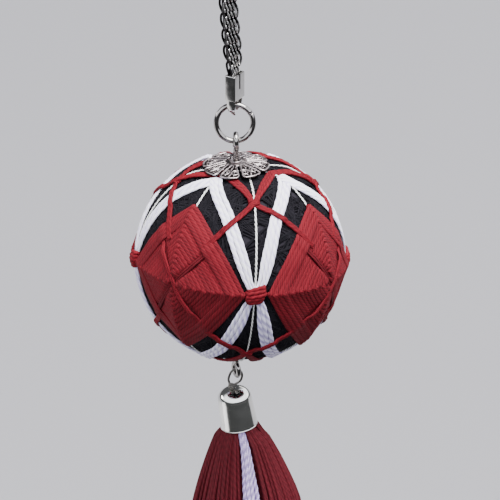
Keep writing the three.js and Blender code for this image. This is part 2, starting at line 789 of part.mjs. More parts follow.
// One strand: a three-sided lock of thread from the head down to its cut end.
function strand(share, azimuth, order) {
  const ending = STRAND_END + 1.4 * Math.sin(2.4 * order) + 1.2 * share;
  const sway = radians(2.5) * Math.sin(1.7 * order);
  const rings = TASSEL_SPREAD.map((row) => {
    const z = row.z === STRAND_END ? ending : row.z;
    const angle = radians(azimuth) + (sway * (HEAD.bottom - z)) / 50;
    const x = row.x + share * row.half * Math.sin(angle);
    const y = -share * row.half * row.depth * Math.cos(angle);
    return [0, 1, 2].map((corner) => {
      const around = angle + (corner * 2 * Math.PI) / 3;
      return new THREE.Vector3(x + row.strand * Math.sin(around), y - row.strand * Math.cos(around), z);
    });
  });
  return loft(rings);
}

// The azimuth of a ring's strand. The outermost ring leaves room for the white lock.
function strandAzimuth(ring, order, start) {
  if (ring.share < 1) {
    return (360 * (order + start)) / ring.count;
  }
  const open = 360 - 2 * WHITE_LOCK.clear;
  return WHITE_LOCK.azimuth + WHITE_LOCK.clear + (open * order) / (ring.count - 1);
}

function tasselHead(radius) {
  const head = new THREE.CylinderGeometry(radius, radius, HEAD.top - HEAD.bottom, 20);
  return head.rotateX(Math.PI / 2).translate(HEAD.x, 0, (HEAD.top + HEAD.bottom) / 2);
}

// The slot in the head's front that the white lock's root sits in, or the root itself with less clearance.
function lockRoot(clearance) {
  const depth = WHITE_LOCK.front - WHITE_LOCK.back + 2 * clearance;
  const height = HEAD.top - HEAD.bottom + 2 * clearance;
  const root = new THREE.BoxGeometry(WHITE_LOCK.width + 2 * clearance, depth, height);
  root.translate(0, -(WHITE_LOCK.front + WHITE_LOCK.back) / 2, (HEAD.top + HEAD.bottom) / 2);
  return root.rotateZ(radians(WHITE_LOCK.azimuth)).translate(HEAD.x, 0, 0);
}

function tasselRed() {
  let head = solid(tasselHead(HEAD.radius)).subtract(solid(lockRoot(GAP)));
  STRAND_RINGS.forEach((ring, r) => {
    for (let i = 0; i < ring.count; i++) {
      head = head.add(solid(strand(ring.share, strandAzimuth(ring, i, 0.37 * r), i + 7 * r)));
    }
  });
  return geometryOf(head);
}

function tasselWhite() {
  const locks = [-1, 0, 1].map((step) =>
    strand(WHITE_LOCK.share, WHITE_LOCK.azimuth + WHITE_LOCK.step * step, 3 * step),
  );
  return union([lockRoot(0), ...locks]);
}

function piece(name, geometry, look) {
  const mesh = new THREE.Mesh(geometry, new THREE.MeshStandardMaterial({ name, ...look }));
  mesh.name = name;
  return mesh;
}

// The embroidered ball, about its own centre
const ball = new THREE.Group();
ball.position.copy(BALL_CENTRE);
ball.add(piece("ball", woundBall(), BLACK_THREAD));
ball.add(piece("white_upper", whiteZigzag(false), WHITE_THREAD));
ball.add(piece("white_lower", whiteZigzag(true), WHITE_THREAD));
ball.add(piece("net_upper", net(false), RED_THREAD));
ball.add(piece("net_lower", net(true), RED_THREAD));
DIVISION.forEach((_, index) => {
  ball.add(piece(`kite_${index + 1}`, kite(index), RED_THREAD));
  ball.add(piece(`tie_${index + 1}`, tie(index), RED_THREAD));
});

// Metal findings and strap above the ball
const findings = new THREE.Group();
findings.add(piece("eye_pin", eyePin(), NICKEL));
findings.add(piece("flower_cap", flowerCap(), NICKEL));
const ring = piece("ring", jumpRing(RING_RADIUS, RING_WIRE, 28), NICKEL);
ring.rotation.x = radians(-RING_TILT);
ring.position.set(RING_X, RING_TOP_Y / 2, (RING_FOOT_Z + RING_TOP_Z) / 2);
findings.add(ring);
const lowerClamp = piece("clamp", clamp(), NICKEL);
lowerClamp.rotation.z = radians(STRAP.clampTurn);
lowerClamp.position.set(RING_X, RING_TOP_Y, RING_TOP_Z);
findings.add(lowerClamp);
findings.add(piece("strap", strap(), NICKEL));
const upperClamp = piece("top_clamp", clamp(), NICKEL);
upperClamp.rotation.set(Math.PI, 0, radians(STRAP.turn));
upperClamp.position.set(STRAP_TOP_X, RING_TOP_Y, TOP_WIRE_Z);
findings.add(upperClamp);
const topRing = piece("top_ring", jumpRing(TOP_RING_RADIUS, TOP_RING_WIRE, 20), NICKEL);
topRing.rotation.z = radians(90 - STRAP.turn);
topRing.position.set(STRAP_TOP_X, RING_TOP_Y, TOP_WIRE_Z + TOP_RING_RADIUS);
findings.add(topRing);

// Tassel with its cap and link below the ball
const lower = new THREE.Group();
lower.add(piece("link", link(), NICKEL));
const bell = piece("tassel_cap", tasselCap(), NICKEL);
bell.position.set(BELL.x, 0, BELL.z);
bell.rotation.y = radians(-BELL.lean);
lower.add(bell);
lower.add(piece("tassel_red", tasselRed(), RED_THREAD));
lower.add(piece("tassel_white", tasselWhite(), WHITE_THREAD));

const charm = new THREE.Group();
charm.add(ball, findings, lower);
charm.position.copy(HANG_POINT).negate();

const root = new THREE.Group();
root.add(charm);
export default root;
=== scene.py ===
"""A hanging temari ball charm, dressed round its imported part.

Sizes are millimetres from the ball's centre and the pin's axis, and become metres of the part's frame
where a piece is made."""

import math

import bpy
import numpy as np
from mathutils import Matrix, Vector


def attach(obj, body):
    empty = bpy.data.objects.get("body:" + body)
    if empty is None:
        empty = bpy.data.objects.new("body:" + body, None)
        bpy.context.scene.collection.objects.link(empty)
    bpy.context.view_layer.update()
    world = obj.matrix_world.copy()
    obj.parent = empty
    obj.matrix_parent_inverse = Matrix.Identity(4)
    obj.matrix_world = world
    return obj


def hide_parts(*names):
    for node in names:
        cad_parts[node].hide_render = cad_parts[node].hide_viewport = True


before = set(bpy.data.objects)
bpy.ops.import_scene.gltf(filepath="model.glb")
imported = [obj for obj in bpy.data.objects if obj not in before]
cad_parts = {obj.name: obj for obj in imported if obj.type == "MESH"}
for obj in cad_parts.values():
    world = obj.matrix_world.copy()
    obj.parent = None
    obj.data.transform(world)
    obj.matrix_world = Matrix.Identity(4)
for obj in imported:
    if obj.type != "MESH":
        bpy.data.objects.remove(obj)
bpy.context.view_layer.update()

# Sizes shared with the part
RING_TILT = math.radians(13)
RING_RADIUS = 3.4
RING_WIRE = 0.5
TOP_EYE_Z = 23.4
LOW_EYE_Z = -23.6
LOW_EYE_TURN = math.radians(22)
PIN_WIRE = 0.5
EYE_RADIUS = 1.3
STRAP_FOOT = np.array([-0.2, 2 * RING_RADIUS * math.sin(RING_TILT), 36.4757])
STRAP_LENGTH = 32.0
STRAP_WIDTH = 3.35
STRAP_THICKNESS = 1.2
STRAP_DRIFT = 1.45
STRAP_UPRIGHT = 0.75
STRAP_TURN = math.radians(42)
CLAMP_TURN = math.radians(62)
CLAMP_FOOT, CLAMP_TOP, STRAP_SEAT = 1.25, 6.15, 0.3
RING_TOP_Z = TOP_EYE_Z + 2 * RING_RADIUS * math.cos(RING_TILT)
TOP_WIRE_Z = STRAP_FOOT[2] + STRAP_LENGTH + STRAP_SEAT + CLAMP_TOP
TOP_RING_RADIUS = 2.6
TOP_RING_WIRE = 0.4
HANG_Z = TOP_WIRE_Z + 2 * TOP_RING_RADIUS - TOP_RING_WIRE
HANG_POINT = np.array([STRAP_FOOT[0] - STRAP_DRIFT, STRAP_FOOT[1], HANG_Z])
BALL_CENTRE, BALL_RADIUS = np.array([0.7, 0.0, 0.0]), 20.0
WOUND_RADIUS = 19.08
THREAD_RADIUS = 19.5
THREAD_STEP = 0.28 / THREAD_RADIUS
DIP_DEPTH, DIP_FULL, DIP_GONE = 1.0, math.radians(14), math.radians(30)


def smoothstep(low, high, value):
    t = np.clip((np.asarray(value, float) - low) / (high - low), 0, 1)
    return t * t * (3 - 2 * t)


def unit(v):
    v = np.asarray(v, float)
    return v / np.maximum(np.linalg.norm(v, axis=-1, keepdims=True), 1e-12)


def turned(points, angle, axis=2):
    """Points turned about X (0), Y (1) or Z (2)."""
    c, s = math.cos(angle), math.sin(angle)
    a, b = [(1, 2), (2, 0), (0, 1)][axis]
    out = np.array(points, float)
    out[..., a], out[..., b] = c * out[..., a] - s * out[..., b], s * out[..., a] + c * out[..., b]
    return out


# Camera
PX_PER_MM = 5.345
PICTURE_PX, SENSOR = 500, 36
CAMERA_ELEVATION = math.radians(25)
CAMERA_DISTANCE = 600.0
AIM_RIGHT, AIM_UP = 1.9, 1.16


def add_camera():
    back = np.array([0, -math.cos(CAMERA_ELEVATION), math.sin(CAMERA_ELEVATION)])
    up = np.array([0, math.sin(CAMERA_ELEVATION), math.cos(CAMERA_ELEVATION)])
    target = BALL_CENTRE + np.array([AIM_RIGHT, 0, 0]) + AIM_UP * up
    data = bpy.data.cameras.new("camera")
    data.sensor_width = SENSOR
    data.lens = PX_PER_MM * CAMERA_DISTANCE * SENSOR / PICTURE_PX
    data.clip_start, data.clip_end = 0.01, 50
    camera = bpy.data.objects.new("camera", data)
    camera.location = (target + CAMERA_DISTANCE * back - HANG_POINT) / 1000
    camera.rotation_euler = Vector(-back).to_track_quat("-Z", "Y").to_euler()
    bpy.context.scene.collection.objects.link(camera)
    bpy.context.scene.camera = camera


add_camera()


# Mesh building
def quad_faces(rows, columns, wrap_rows=False, wrap_columns=False, flip=False):
    """The faces between neighbouring points of a grid."""
    i, j = np.meshgrid(np.arange(rows if wrap_rows else rows - 1),
                       np.arange(columns if wrap_columns else columns - 1), indexing="ij")
    k, m = (i + 1) % rows, (j + 1) % columns
    corners = [i * columns + j, k * columns + j, k * columns + m, i * columns + m]
    return np.stack(corners[::-1] if flip else corners, -1).reshape(-1, 4).tolist()


class Bundle:
    """Joined tubes and sheets in millimetres, with a fibre coordinate that runs along each thread."""

    def __init__(self):
        self.verts, self.faces, self.fibre, self.tone = [], [], [], []
        self.count = 0

    def add(self, verts, faces, fibre=None, tone=0.5):
        verts = np.asarray(verts, float).reshape(-1, 3)
        self.faces.extend([[i + self.count for i in face] for face in faces])
        self.verts.append(verts)
        self.fibre.append(verts * 1.0 if fibre is None else np.asarray(fibre, float).reshape(-1, 3))
        self.tone.append(np.broadcast_to(np.asarray(tone, float), (len(verts),)) * 1.0)
        self.count += len(verts)

    def tube(self, points, up, half_w, half_h=None, sides=8, twist=0.0, lobes=0, depth=0.0,
             closed=False, tone=0.5, seed=0.0, spin_fibre=True):
        """A thread or wire along points. half_h is half its size towards up, twist is in turns per mm."""
        points = np.asarray(points, float)
        n = len(points)
        up = np.broadcast_to(np.asarray(up, float), points.shape)
        half_w = np.broadcast_to(np.asarray(half_w, float), (n,))
        half_h = half_w if half_h is None else np.broadcast_to(np.asarray(half_h, float), (n,))
        if closed:
            tangent = unit(np.roll(points, -1, 0) - np.roll(points, 1, 0))
            step = np.linalg.norm(points - np.roll(points, 1, 0), axis=1)
            step[0] = 0
        else:
            tangent = unit(np.gradient(points, axis=0))
            step = np.r_[0, np.linalg.norm(np.diff(points, axis=0), axis=1)]
        along = np.cumsum(step)
        side = unit(np.cross(tangent, up))
        lift = np.cross(side, tangent)
        if closed and twist:
            total = along[-1] + np.linalg.norm(points[0] - points[-1])
            twist = round(twist * total) / total
        angle = np.linspace(0, 2 * math.pi, sides, endpoint=False)[None, :]
        phase = 2 * math.pi * (twist * along[:, None] + seed)
        swell = 1 + depth * np.cos(lobes * (angle - phase))
        offset = (side[:, None, :] * (half_w[:, None] * np.cos(angle) * swell)[..., None]
                  + lift[:, None, :] * (half_h[:, None] * np.sin(angle) * swell)[..., None])
        spun = angle - phase if spin_fibre else angle + 0 * phase
        length = np.broadcast_to(along[:, None] + 37 * seed, (n, sides))
        faces = quad_faces(n, sides, closed, True)
        if not closed:
            faces.append(list(range(sides)))
            faces.append(list(range(n * sides - 1, (n - 1) * sides - 1, -1)))
        fibre = np.stack([np.cos(spun), np.sin(spun), length], -1)
        self.add(points[:, None, :] + offset, faces, fibre, tone)

    def grid(self, verts, wrap_u=False, wrap_v=False, tone=0.5, flip=False):
        """A sheet through a grid of points."""
        verts = np.asarray(verts, float)
        self.add(verts, quad_faces(*verts.shape[:2], wrap_u, wrap_v, flip), tone=tone)

    def shell(self, top, bottom, tone=0.5):
        """A closed plate between two grids of the same size."""
        verts = np.concatenate([top, bottom[:, ::-1]], axis=1)
        rows, around = verts.shape[:2]
        faces = quad_faces(rows, around, wrap_columns=True)
        for first, turned_over in ((0, False), ((rows - 1) * around, True)):
            for j in range(around // 2 - 1):
                face = [first + j, first + j + 1, first + around - 2 - j, first + around - 1 - j]
                faces.append(face[::-1] if turned_over else face)
        self.add(verts, faces, tone=tone)

    def lathe(self, profile, steps):
        """A closed body of revolution about Z, from a closed profile of (radius, height) rows."""
        angle = np.linspace(0, 2 * math.pi, steps, endpoint=False)[:, None]
        radius, height = np.asarray(profile, float).T
        verts = np.broadcast_arrays(radius * np.cos(angle), radius * np.sin(angle), height)
        self.grid(np.stack(verts, -1), wrap_u=True, wrap_v=True)

    def moved(self, change):
        """Applies a change of coordinates to everything added so far."""
        self.verts = [change(v) for v in self.verts]
        return self

    def join(self, other):
        for verts, fibre, tone in zip(other.verts, other.fibre, other.tone):
            self.verts.append(verts)
            self.fibre.append(fibre)
            self.tone.append(tone)
        self.faces.extend([[i + self.count for i in face] for face in other.faces])
        self.count += other.count

    def object(self, name, material, slot, nodes=()):
        """Makes the mesh in the part's frame. It rides on the root and replaces the named CAD nodes."""
        mesh = bpy.data.meshes.new(name)
        mesh.from_pydata(((np.concatenate(self.verts) - HANG_POINT) / 1000).tolist(), [], self.faces)
        fibre = mesh.attributes.new("fibre", "FLOAT_VECTOR", "POINT")
        fibre.data.foreach_set("vector", np.concatenate(self.fibre).astype(np.float32).ravel())
        tone = mesh.attributes.new("tone", "FLOAT", "POINT")
        tone.data.foreach_set("value", np.concatenate(self.tone).astype(np.float32))
        mesh.polygons.foreach_set("use_smooth", [True] * len(mesh.polygons))
        mesh.materials.append(material)
        mesh.update()
        obj = bpy.data.objects.new(name, mesh)
        bpy.context.scene.collection.objects.link(obj)
        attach(obj, "root")
        if nodes:
            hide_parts(*nodes)
        return obj


def smooth_way(points, step):
    """A smooth curve through the points, in even steps."""
    p = np.asarray(points, float)
    p = np.vstack([2 * p[0] - p[1], p, 2 * p[-1] - p[-2]])
    t = np.linspace(0, 1, 16, endpoint=False)[:, None]
    fine = []
    for a, b, c, d in zip(p, p[1:], p[2:], p[3:]):
        bend = (2 * a - 5 * b + 4 * c - d) * t**2 + (3 * b - a - 3 * c + d) * t**3
        fine.append(0.5 * (2 * b + (c - a) * t + bend))
    fine = np.vstack(fine + [p[-2][None, :]])
    length = np.r_[0, np.cumsum(np.linalg.norm(np.diff(fine, axis=0), axis=1))]
    count = max(int(round(length[-1] / step)), 3)
    at = np.linspace(0, length[-1], count + 1)
    return np.stack([np.interp(at, length, fine[:, i]) for i in range(3)], -1)


# The ball's pattern: colatitude and longitude from a leaning pole
LEAN_RIGHT, LEAN_BACK, FRONT_AZIMUTH = math.radians(3.06), math.radians(4.4), math.radians(8.5)
TIES = [0, 88, 180, 272]
KITES = [47, 134, 226, 313.5]
# colatitude and longitude from a tie, in degrees, along the white band at each side of it
WHITE_WAY = {
    -1: [(26.5, 46.5), (30.5, 41), (38, 31), (48, 20.5), (57, 14.8), (66, 10.4),
         (75, 6.8), (83, 4), (90, 0.6)],
    1: [(26.5, 47), (30.5, 39), (38, 27), (48, 16.5), (57, 11.5), (66, 8.2),
        (75, 5.6), (83, 3.6), (90, 0.6)],
}
NET_APEX, NET_CROSSING = 18.5, 40
NET_WAY = {
    -1: [(45.5, 8), (50.5, 14), (57, 21), (64, 27.5), (68, 31.5)],
    1: [(45.5, 12.5), (50.5, 20.5), (57, 28), (64, 34), (68, 37.5)],
}
NET_LOWER = {"apex": 162.5, "crossing": 135, "way": [(126, 13), (117, 27), (113, 31)]}


def direction(colatitude, longitude):
    t, l = np.radians(colatitude), np.radians(longitude)
    v = np.stack(np.broadcast_arrays(np.sin(t) * np.sin(l), -np.sin(t) * np.cos(l), np.cos(t)), -1)
    return turned(turned(turned(v, FRONT_AZIMUTH, 2), LEAN_RIGHT, 1), -LEAN_BACK, 0)


def on_layer(towards, radius):
    towards = unit(towards)
    off = np.arccos(np.clip(towards[..., 2], -1, 1))
    dip = DIP_DEPTH * (1 - smoothstep(DIP_FULL, DIP_GONE, off))
    return BALL_CENTRE + towards * (np.asarray(radius) - dip)[..., None]


def span(index, side):
    kite = KITES[index] if side > 0 else KITES[(index + 3) % 4]
    gap = abs(kite - TIES[index])
    return min(gap, 360 - gap)


def slerp(a, b, t):
    angle = math.acos(float(np.clip(np.dot(a, b), -1, 1)))
    t = np.asarray(t, float)[..., None]
    return (np.sin((1 - t) * angle) * a + np.sin(t * angle) * b) / math.sin(angle)


def strands_over(bundle, dirs, radius, offsets, half_w, half_h, rng, tone=(0.3, 0.7), twist=0.42, depth=0.17,
                 sides=8, wander=0.05):
    """Threads laid side by side along directions on the ball. radius and half_w are numbers or rows."""
    n = len(dirs)
    side = unit(np.cross(unit(np.gradient(dirs, axis=0)), dirs))
    for offset in offsets:
        sway = wander * np.sin(np.linspace(0, 5 + 2 * rng.random(), n) + 6 * rng.random())
        shift = (np.broadcast_to(offset, (n,)) + sway)[:, None] / THREAD_RADIUS
        towards = unit(dirs + side * shift)
        bundle.tube(on_layer(towards, radius + 0.03 * rng.random()), towards, half_w, half_h, sides=sides,
                    twist=twist * (0.9 + 0.2 * rng.random()), lobes=2, depth=depth,
                    tone=rng.uniform(*tone), seed=rng.random())


# Materials
class Nodes:
    """A node tree, with short ways to add the nodes that these materials use."""

    def __init__(self, tree):
        self.tree = tree

    def put(self, socket, value):
        """Sets a socket, or links it when the value is another node's output."""
        if isinstance(value, bpy.types.NodeSocket):
            self.tree.links.new(value, socket)
        else:
            socket.default_value = value

    def add(self, kind, settings=None, **inputs):
        """A node of a kind. An input's name has an underscore for each space."""
        node = self.tree.nodes.new("ShaderNode" + kind)
        for key, value in (settings or {}).items():
            setattr(node, key, value)
        for key, value in inputs.items():
            self.put(node.inputs[key.replace("_", " ")], value)
        return node

    def math(self, operation, *values):
        node = self.add("Math", {"operation": operation})
        for socket, value in zip(node.inputs, values):
            self.put(socket, value)
        return node.outputs[0]

    def attribute(self, name):
        return self.add("Attribute", {"attribute_name": name})

    def noise(self, place, scale, detail, roughness=0.5):
        node = self.add("TexNoise", Vector=place, Scale=scale, Detail=detail, Roughness=roughness)
        return node.outputs["Fac"]

    def edge(self, value, low, high, top=1.0):
        """A smooth step of a value, from 0 at low to top at high."""
        node = self.add("MapRange", {"interpolation_type": "SMOOTHSTEP"}, Value=value, From_Min=low,
                        From_Max=high, To_Max=top)
        return node.outputs["Result"]

    def ramp(self, shade, stops):
        node = self.add("ValToRGB", Fac=shade)
        elements = node.color_ramp.elements
        while len(elements) < len(stops):
            elements.new(0.5)
        for element, (place, colour) in zip(elements, stops):
            element.position = place
            element.color = (*colour, 1)
        return node.outputs["Color"]

    def bump(self, strength, distance, height):
        return self.add("Bump", Strength=strength, Distance=distance, Height=height).outputs["Normal"]


def new_material(name):
    material = bpy.data.materials.new(name)
    material.use_nodes = True
    return material, Nodes(material.node_tree), material.node_tree.nodes["Principled BSDF"].inputs


def thread_material(name, colours, stops=(0.28, 0.5, 0.74), roughness=0.6, specular=0.3, sheen=0.3, plies=2,
                    ply_shade_share=0.3, spin=0.0, fibre_scale=5.0, bump=0.55):
    """Twisted floss: fine fibres that follow the twist, painted shade between the plies, a tone for each
    thread.

    colours go from dark to light. spin is in turns per mm, for threads whose mesh isn't twisted."""
    material, tree, shader = new_material(name)
    x, y, along = tree.add("SeparateXYZ", Vector=tree.attribute("fibre").outputs["Vector"]).outputs
    if spin:
        around = tree.math("MULTIPLY_ADD", along, -2 * math.pi * spin, tree.math("ARCTAN2", y, x))
        x, y = tree.math("COSINE", around), tree.math("SINE", around)
    if plies == 2:
        ply = tree.math("MULTIPLY", x, x)
    else:
        turn = tree.math("MULTIPLY", tree.math("ARCTAN2", y, x), plies)
        ply = tree.math("MULTIPLY_ADD", tree.math("COSINE", turn), 0.5, 0.5)
    place = tree.add("CombineXYZ", X=x, Y=y, Z=tree.math("MULTIPLY", along, 0.16))
    noise = tree.noise(place.outputs[0], fibre_scale, 3, 0.6)
    # Painted shade: the grooves between the plies are darkened, over the fibres' noise and each thread's own
    # tone.
    shade = tree.math("MULTIPLY_ADD", noise, 0.45, tree.math("MULTIPLY", ply, ply_shade_share))
    shade = tree.math("MULTIPLY_ADD", tree.attribute("tone").outputs["Fac"], 0.55 - ply_shade_share, shade)
    tree.put(shader["Base Color"], tree.ramp(shade, list(zip(stops, colours))))
    height = tree.math("MULTIPLY_ADD", ply, 0.9 if spin else 0.3, noise)
    tree.put(shader["Normal"], tree.bump(bump, 0.00005, height))
    shader["Roughness"].default_value = roughness
    shader["Specular IOR Level"].default_value = specular
    shader["Sheen Weight"].default_value = sheen
    shader["Sheen Roughness"].default_value = 0.4
    shader["Sheen Tint"].default_value = (*colours[-1], 1)
    return material


def metal_material(name, colour, roughness, wear_scale=900, wear=0.25, ground=None):
    """Plated metal with faint handling marks. ground is the dark colour in hollows: oxide in a stamping's
    hollows, and painted shade inside the strap's mesh.
    """
    material, tree, shader = new_material(name)
    noise = tree.noise(tree.add("TexCoord").outputs["Object"], wear_scale, 4)
    spread = tree.add("MapRange", Value=noise, From_Min=0.35, From_Max=0.7, To_Min=roughness,
                      To_Max=roughness + wear)
    tree.put(shader["Roughness"], spread.outputs["Result"])
    if ground:
        level = tree.math("MULTIPLY_ADD", noise, 0.35, tree.attribute("tone").outputs["Fac"])
        shade = tree.ramp(level, [(0.35, ground), (0.85, colour)])
    else:
        shade = tree.ramp(noise, [(0.3, tuple(0.82 * c for c in colour)), (0.65, colour)])
    tree.put(shader["Base Color"], shade)
    tree.put(shader["Normal"], tree.bump(0.05, 0.00002, noise))
    shader["Metallic"].default_value = 1
    return material


# dark, middle and light colour of each thread
RED_FINISH = {"sheen": 0.1, "roughness": 0.8, "specular": 0.14}
RED_FLOSS = thread_material(
    "red_stranded_floss", [(0.064, 0.0052, 0.0088), (0.13, 0.0068, 0.0122), (0.2, 0.0094, 0.0175)],
    plies=5, ply_shade_share=0.26, bump=0.7, **RED_FINISH)
RED = thread_material(
    "red_floss", [(0.07, 0.003, 0.0065), (0.138, 0.0055, 0.0108), (0.215, 0.01, 0.019)],
    ply_shade_share=0.17, **RED_FINISH)
RED_TASSEL = thread_material(
    "red_tassel_floss", [(0.062, 0.007, 0.0105), (0.1, 0.0098, 0.0152), (0.15, 0.0158, 0.024)],
    spin=0.38, bump=0.35, ply_shade_share=0.2, **{**RED_FINISH, "sheen": 0.3})
# The whites' darker colours are lavender, a painted tint of shade for the ply grooves and the lower bands.
WHITE = thread_material(
    "white_floss", [(0.34, 0.29, 0.56), (0.83, 0.79, 0.97), (0.96, 0.95, 0.99)],
    sheen=0.05, stops=(0.27, 0.46, 0.64), ply_shade_share=0.2, fibre_scale=6.5)
WHITE_LOCK = thread_material(
    "white_lock_floss", [(0.19, 0.13, 0.32), (0.44, 0.33, 0.64), (0.9, 0.78, 0.97)],
    sheen=0.05, stops=(0.26, 0.46, 0.66), ply_shade_share=0.27, bump=0.7)
BLACK = thread_material(
    "black_thread", [(0.0042, 0.0042, 0.006), (0.0085, 0.0075, 0.01), (0.019, 0.017, 0.022)],
    sheen=0.05, specular=0.08, roughness=0.85)
SILVER = thread_material(
    "silver_thread", [(0.03, 0.03, 0.03), (0.75, 0.75, 0.72), (0.95, 0.95, 0.93)],
    sheen=0.0, roughness=0.4, stops=(0.27, 0.4, 0.6), ply_shade_share=0.4, fibre_scale=3.0)
NICKEL = metal_material("plated_nickel", (0.55, 0.54, 0.52), 0.1, wear=0.12)
NICKEL_RING = metal_material("plated_wire", (0.33, 0.315, 0.3), 0.08, wear=0.08)
# Painted shade for the walls of the clamp's slit.
PAINTED_SLIT_SHADE = metal_material("painted_slit_shade", (0.012, 0.011, 0.01), 0.6)
# The mesh's ground colour is painted shade, and the wires' tone lifts it to a painted highlight on their
# crests.
NICKEL_MESH = metal_material("plated_mesh", (0.92, 0.9, 0.88), 0.2, ground=(0.02, 0.018, 0.018))
NICKEL_BELL = metal_material("polished_cap", (0.93, 0.92, 0.87), 0.1, wear_scale=300, wear=0.08)
NICKEL_OLD = metal_material("stamped_cap", (0.41, 0.36, 0.36), 0.18, ground=(0.035, 0.028, 0.028))
WIRE_DARK = metal_material("dark_wire", (0.19, 0.18, 0.165), 0.25)


# Strap: rows of flattened spiral wire, each hooked into the next
STRAP_WIRE, STRAP_PITCH, STRAP_ROW, STRAP_REACH = 0.2, 0.76, 1.56, 0.86
STRAP_HOLD = 0.2


def strap_centre(t):
    t = np.asarray(t, float)
    x = STRAP_FOOT[0] - STRAP_DRIFT * np.sin(np.minimum(t / STRAP_UPRIGHT, 1) * math.pi / 2)
    return np.stack([x, np.full(t.shape, STRAP_FOOT[1]), STRAP_FOOT[2] + STRAP_LENGTH * t], -1)


def strap_point(across, out, height):
    """A point of the strap from its place across, out of its face and above its foot."""
    t = height / STRAP_LENGTH
    turn = STRAP_TURN + (CLAMP_TURN - STRAP_TURN) * (1 - smoothstep(0, 0.14, t))
    centre = strap_centre(np.clip(t, -0.05, 1.05))
    c, s = np.cos(turn), np.sin(turn)
    return centre + np.stack([across * c - out * s, across * s + out * c, np.zeros(np.shape(t))], -1)


def strap_tube(bundle, across, out, height, wire, closed=False, seed=0.0, painted_glint=1.0):
    """A wire of the strap, with painted shade where it lies inside the mesh and a painted highlight on its
    outermost crest.
    """
    height = np.clip(height, -STRAP_HOLD, STRAP_LENGTH + STRAP_HOLD)
    points = strap_point(across, out, height)
    core = strap_point(across, 0 * out, height)
    angle = np.linspace(0, 2 * math.pi, 8, endpoint=False)
    # The tone paints a highlight on each wire's outermost, outward facing crest and paints shade over the
    # rest.
    crest = np.abs(out)[:, None] / np.max(np.abs(out)) + 0.3 * np.sin(angle)[None, :]
    bundle.tube(points, points - core + (0, 0, 1e-4), wire, closed=closed, seed=seed,
                tone=painted_glint * smoothstep(0.9, 1.16, crest).ravel())


def make_strap():
    """The mesh: spirals across the strap on a flat core painted dark as shade inside the mesh, and a link
    round each edge every two rows.
    """
    bundle = Bundle()
    half, depth = STRAP_WIDTH / 2 - STRAP_WIRE, STRAP_THICKNESS / 2 - STRAP_WIRE
    for r in range(int(STRAP_LENGTH / STRAP_ROW) + 1):
        start = -half + (0.35 * STRAP_PITCH if r % 2 else 0)
        turns = (half - start) / STRAP_PITCH
        phi = np.linspace(0, 2 * math.pi * turns, int(18 * turns) + 1)
        across = np.clip(start + STRAP_PITCH * phi / (2 * math.pi) + 0.17 * np.sin(phi), -half, half)
        height = STRAP_HOLD + r * STRAP_ROW - STRAP_REACH * np.sin(phi)
        strap_tube(bundle, across, -depth * np.cos(phi), height, STRAP_WIRE, seed=r * 0.37)
    core = np.linspace(-STRAP_HOLD, STRAP_LENGTH + STRAP_HOLD, 90)
    middle = strap_point(0 * core, 0 * core, core)
    outward = strap_point(0 * core, 0 * core + 1.0, core) - middle
    # The core takes the darkest tone: a sheet of painted shade inside the mesh.
    bundle.tube(middle, outward, half - 0.1, 0.2, sides=12, tone=0.0)
    a = np.linspace(0, 2 * math.pi, 26, endpoint=False)
    for edge in (-1, 1):
        for lobe in range(int(STRAP_LENGTH / (2 * STRAP_ROW)) + 1):
            centre = 0.9 + 2 * STRAP_ROW * (lobe + (0.5 if edge > 0 else 0.0))
            height = centre + 1.5 * np.sin(a) + 0.3 * np.cos(a)
            across = edge * (half - 0.12 + 0.34 * np.cos(a) ** 2)
            # The edge links get a weaker painted highlight.
            strap_tube(bundle, across, (depth + 0.05) * np.cos(a), height, STRAP_WIRE + 0.03, closed=True,
                       painted_glint=0.45)
    strap = bundle.object("strap_mesh", NICKEL_MESH, "nickel", ["strap"])
    route = [tuple((strap_centre(np.array(t)) - HANG_POINT) / 1000) for t in np.linspace(0, 1, 24)]
    return strap, route


# Rings, clamps and pin
RING_SPLIT = 0.05


def ring_bundle(radius, wire, split_at, steps, change):
    """A split wire ring, drawn in the XZ plane about its own centre and then put in its place."""
    a = np.linspace(split_at + RING_SPLIT / 2, split_at + 2 * math.pi - RING_SPLIT / 2, steps)
    aside = 0.22 * (a - split_at - math.pi) / math.pi
    ring = Bundle()
    ring.tube(np.stack([radius * np.cos(a), aside, radius * np.sin(a)], -1), (0, 1, 0), wire, sides=14)
    return ring.moved(change)


def rounded_outline(half_x, half_y, corner, per=5):
    out = []
    for sign_x, sign_y, start in ((1, -1, -90), (1, 1, 0), (-1, 1, 90), (-1, -1, 180)):
        for a in np.radians(np.linspace(start, start + 90, per)):
            out.append((sign_x * (half_x - corner) + corner * math.cos(a),
                        sign_y * (half_y - corner) + corner * math.sin(a)))
    return np.array(out)


CLAMP_HALF = (1.9, 1.06)
CLAMP_SHEET = 0.3
CLAMP_WELL = CLAMP_TOP - 1.0
SLIT = {"half_x": 0.24, "half_y": 0.5, "y": -0.9, "low": 3.25, "high": 6.3}


def level_ring(outline, z):
    return np.c_[outline, np.full(len(outline), z)]


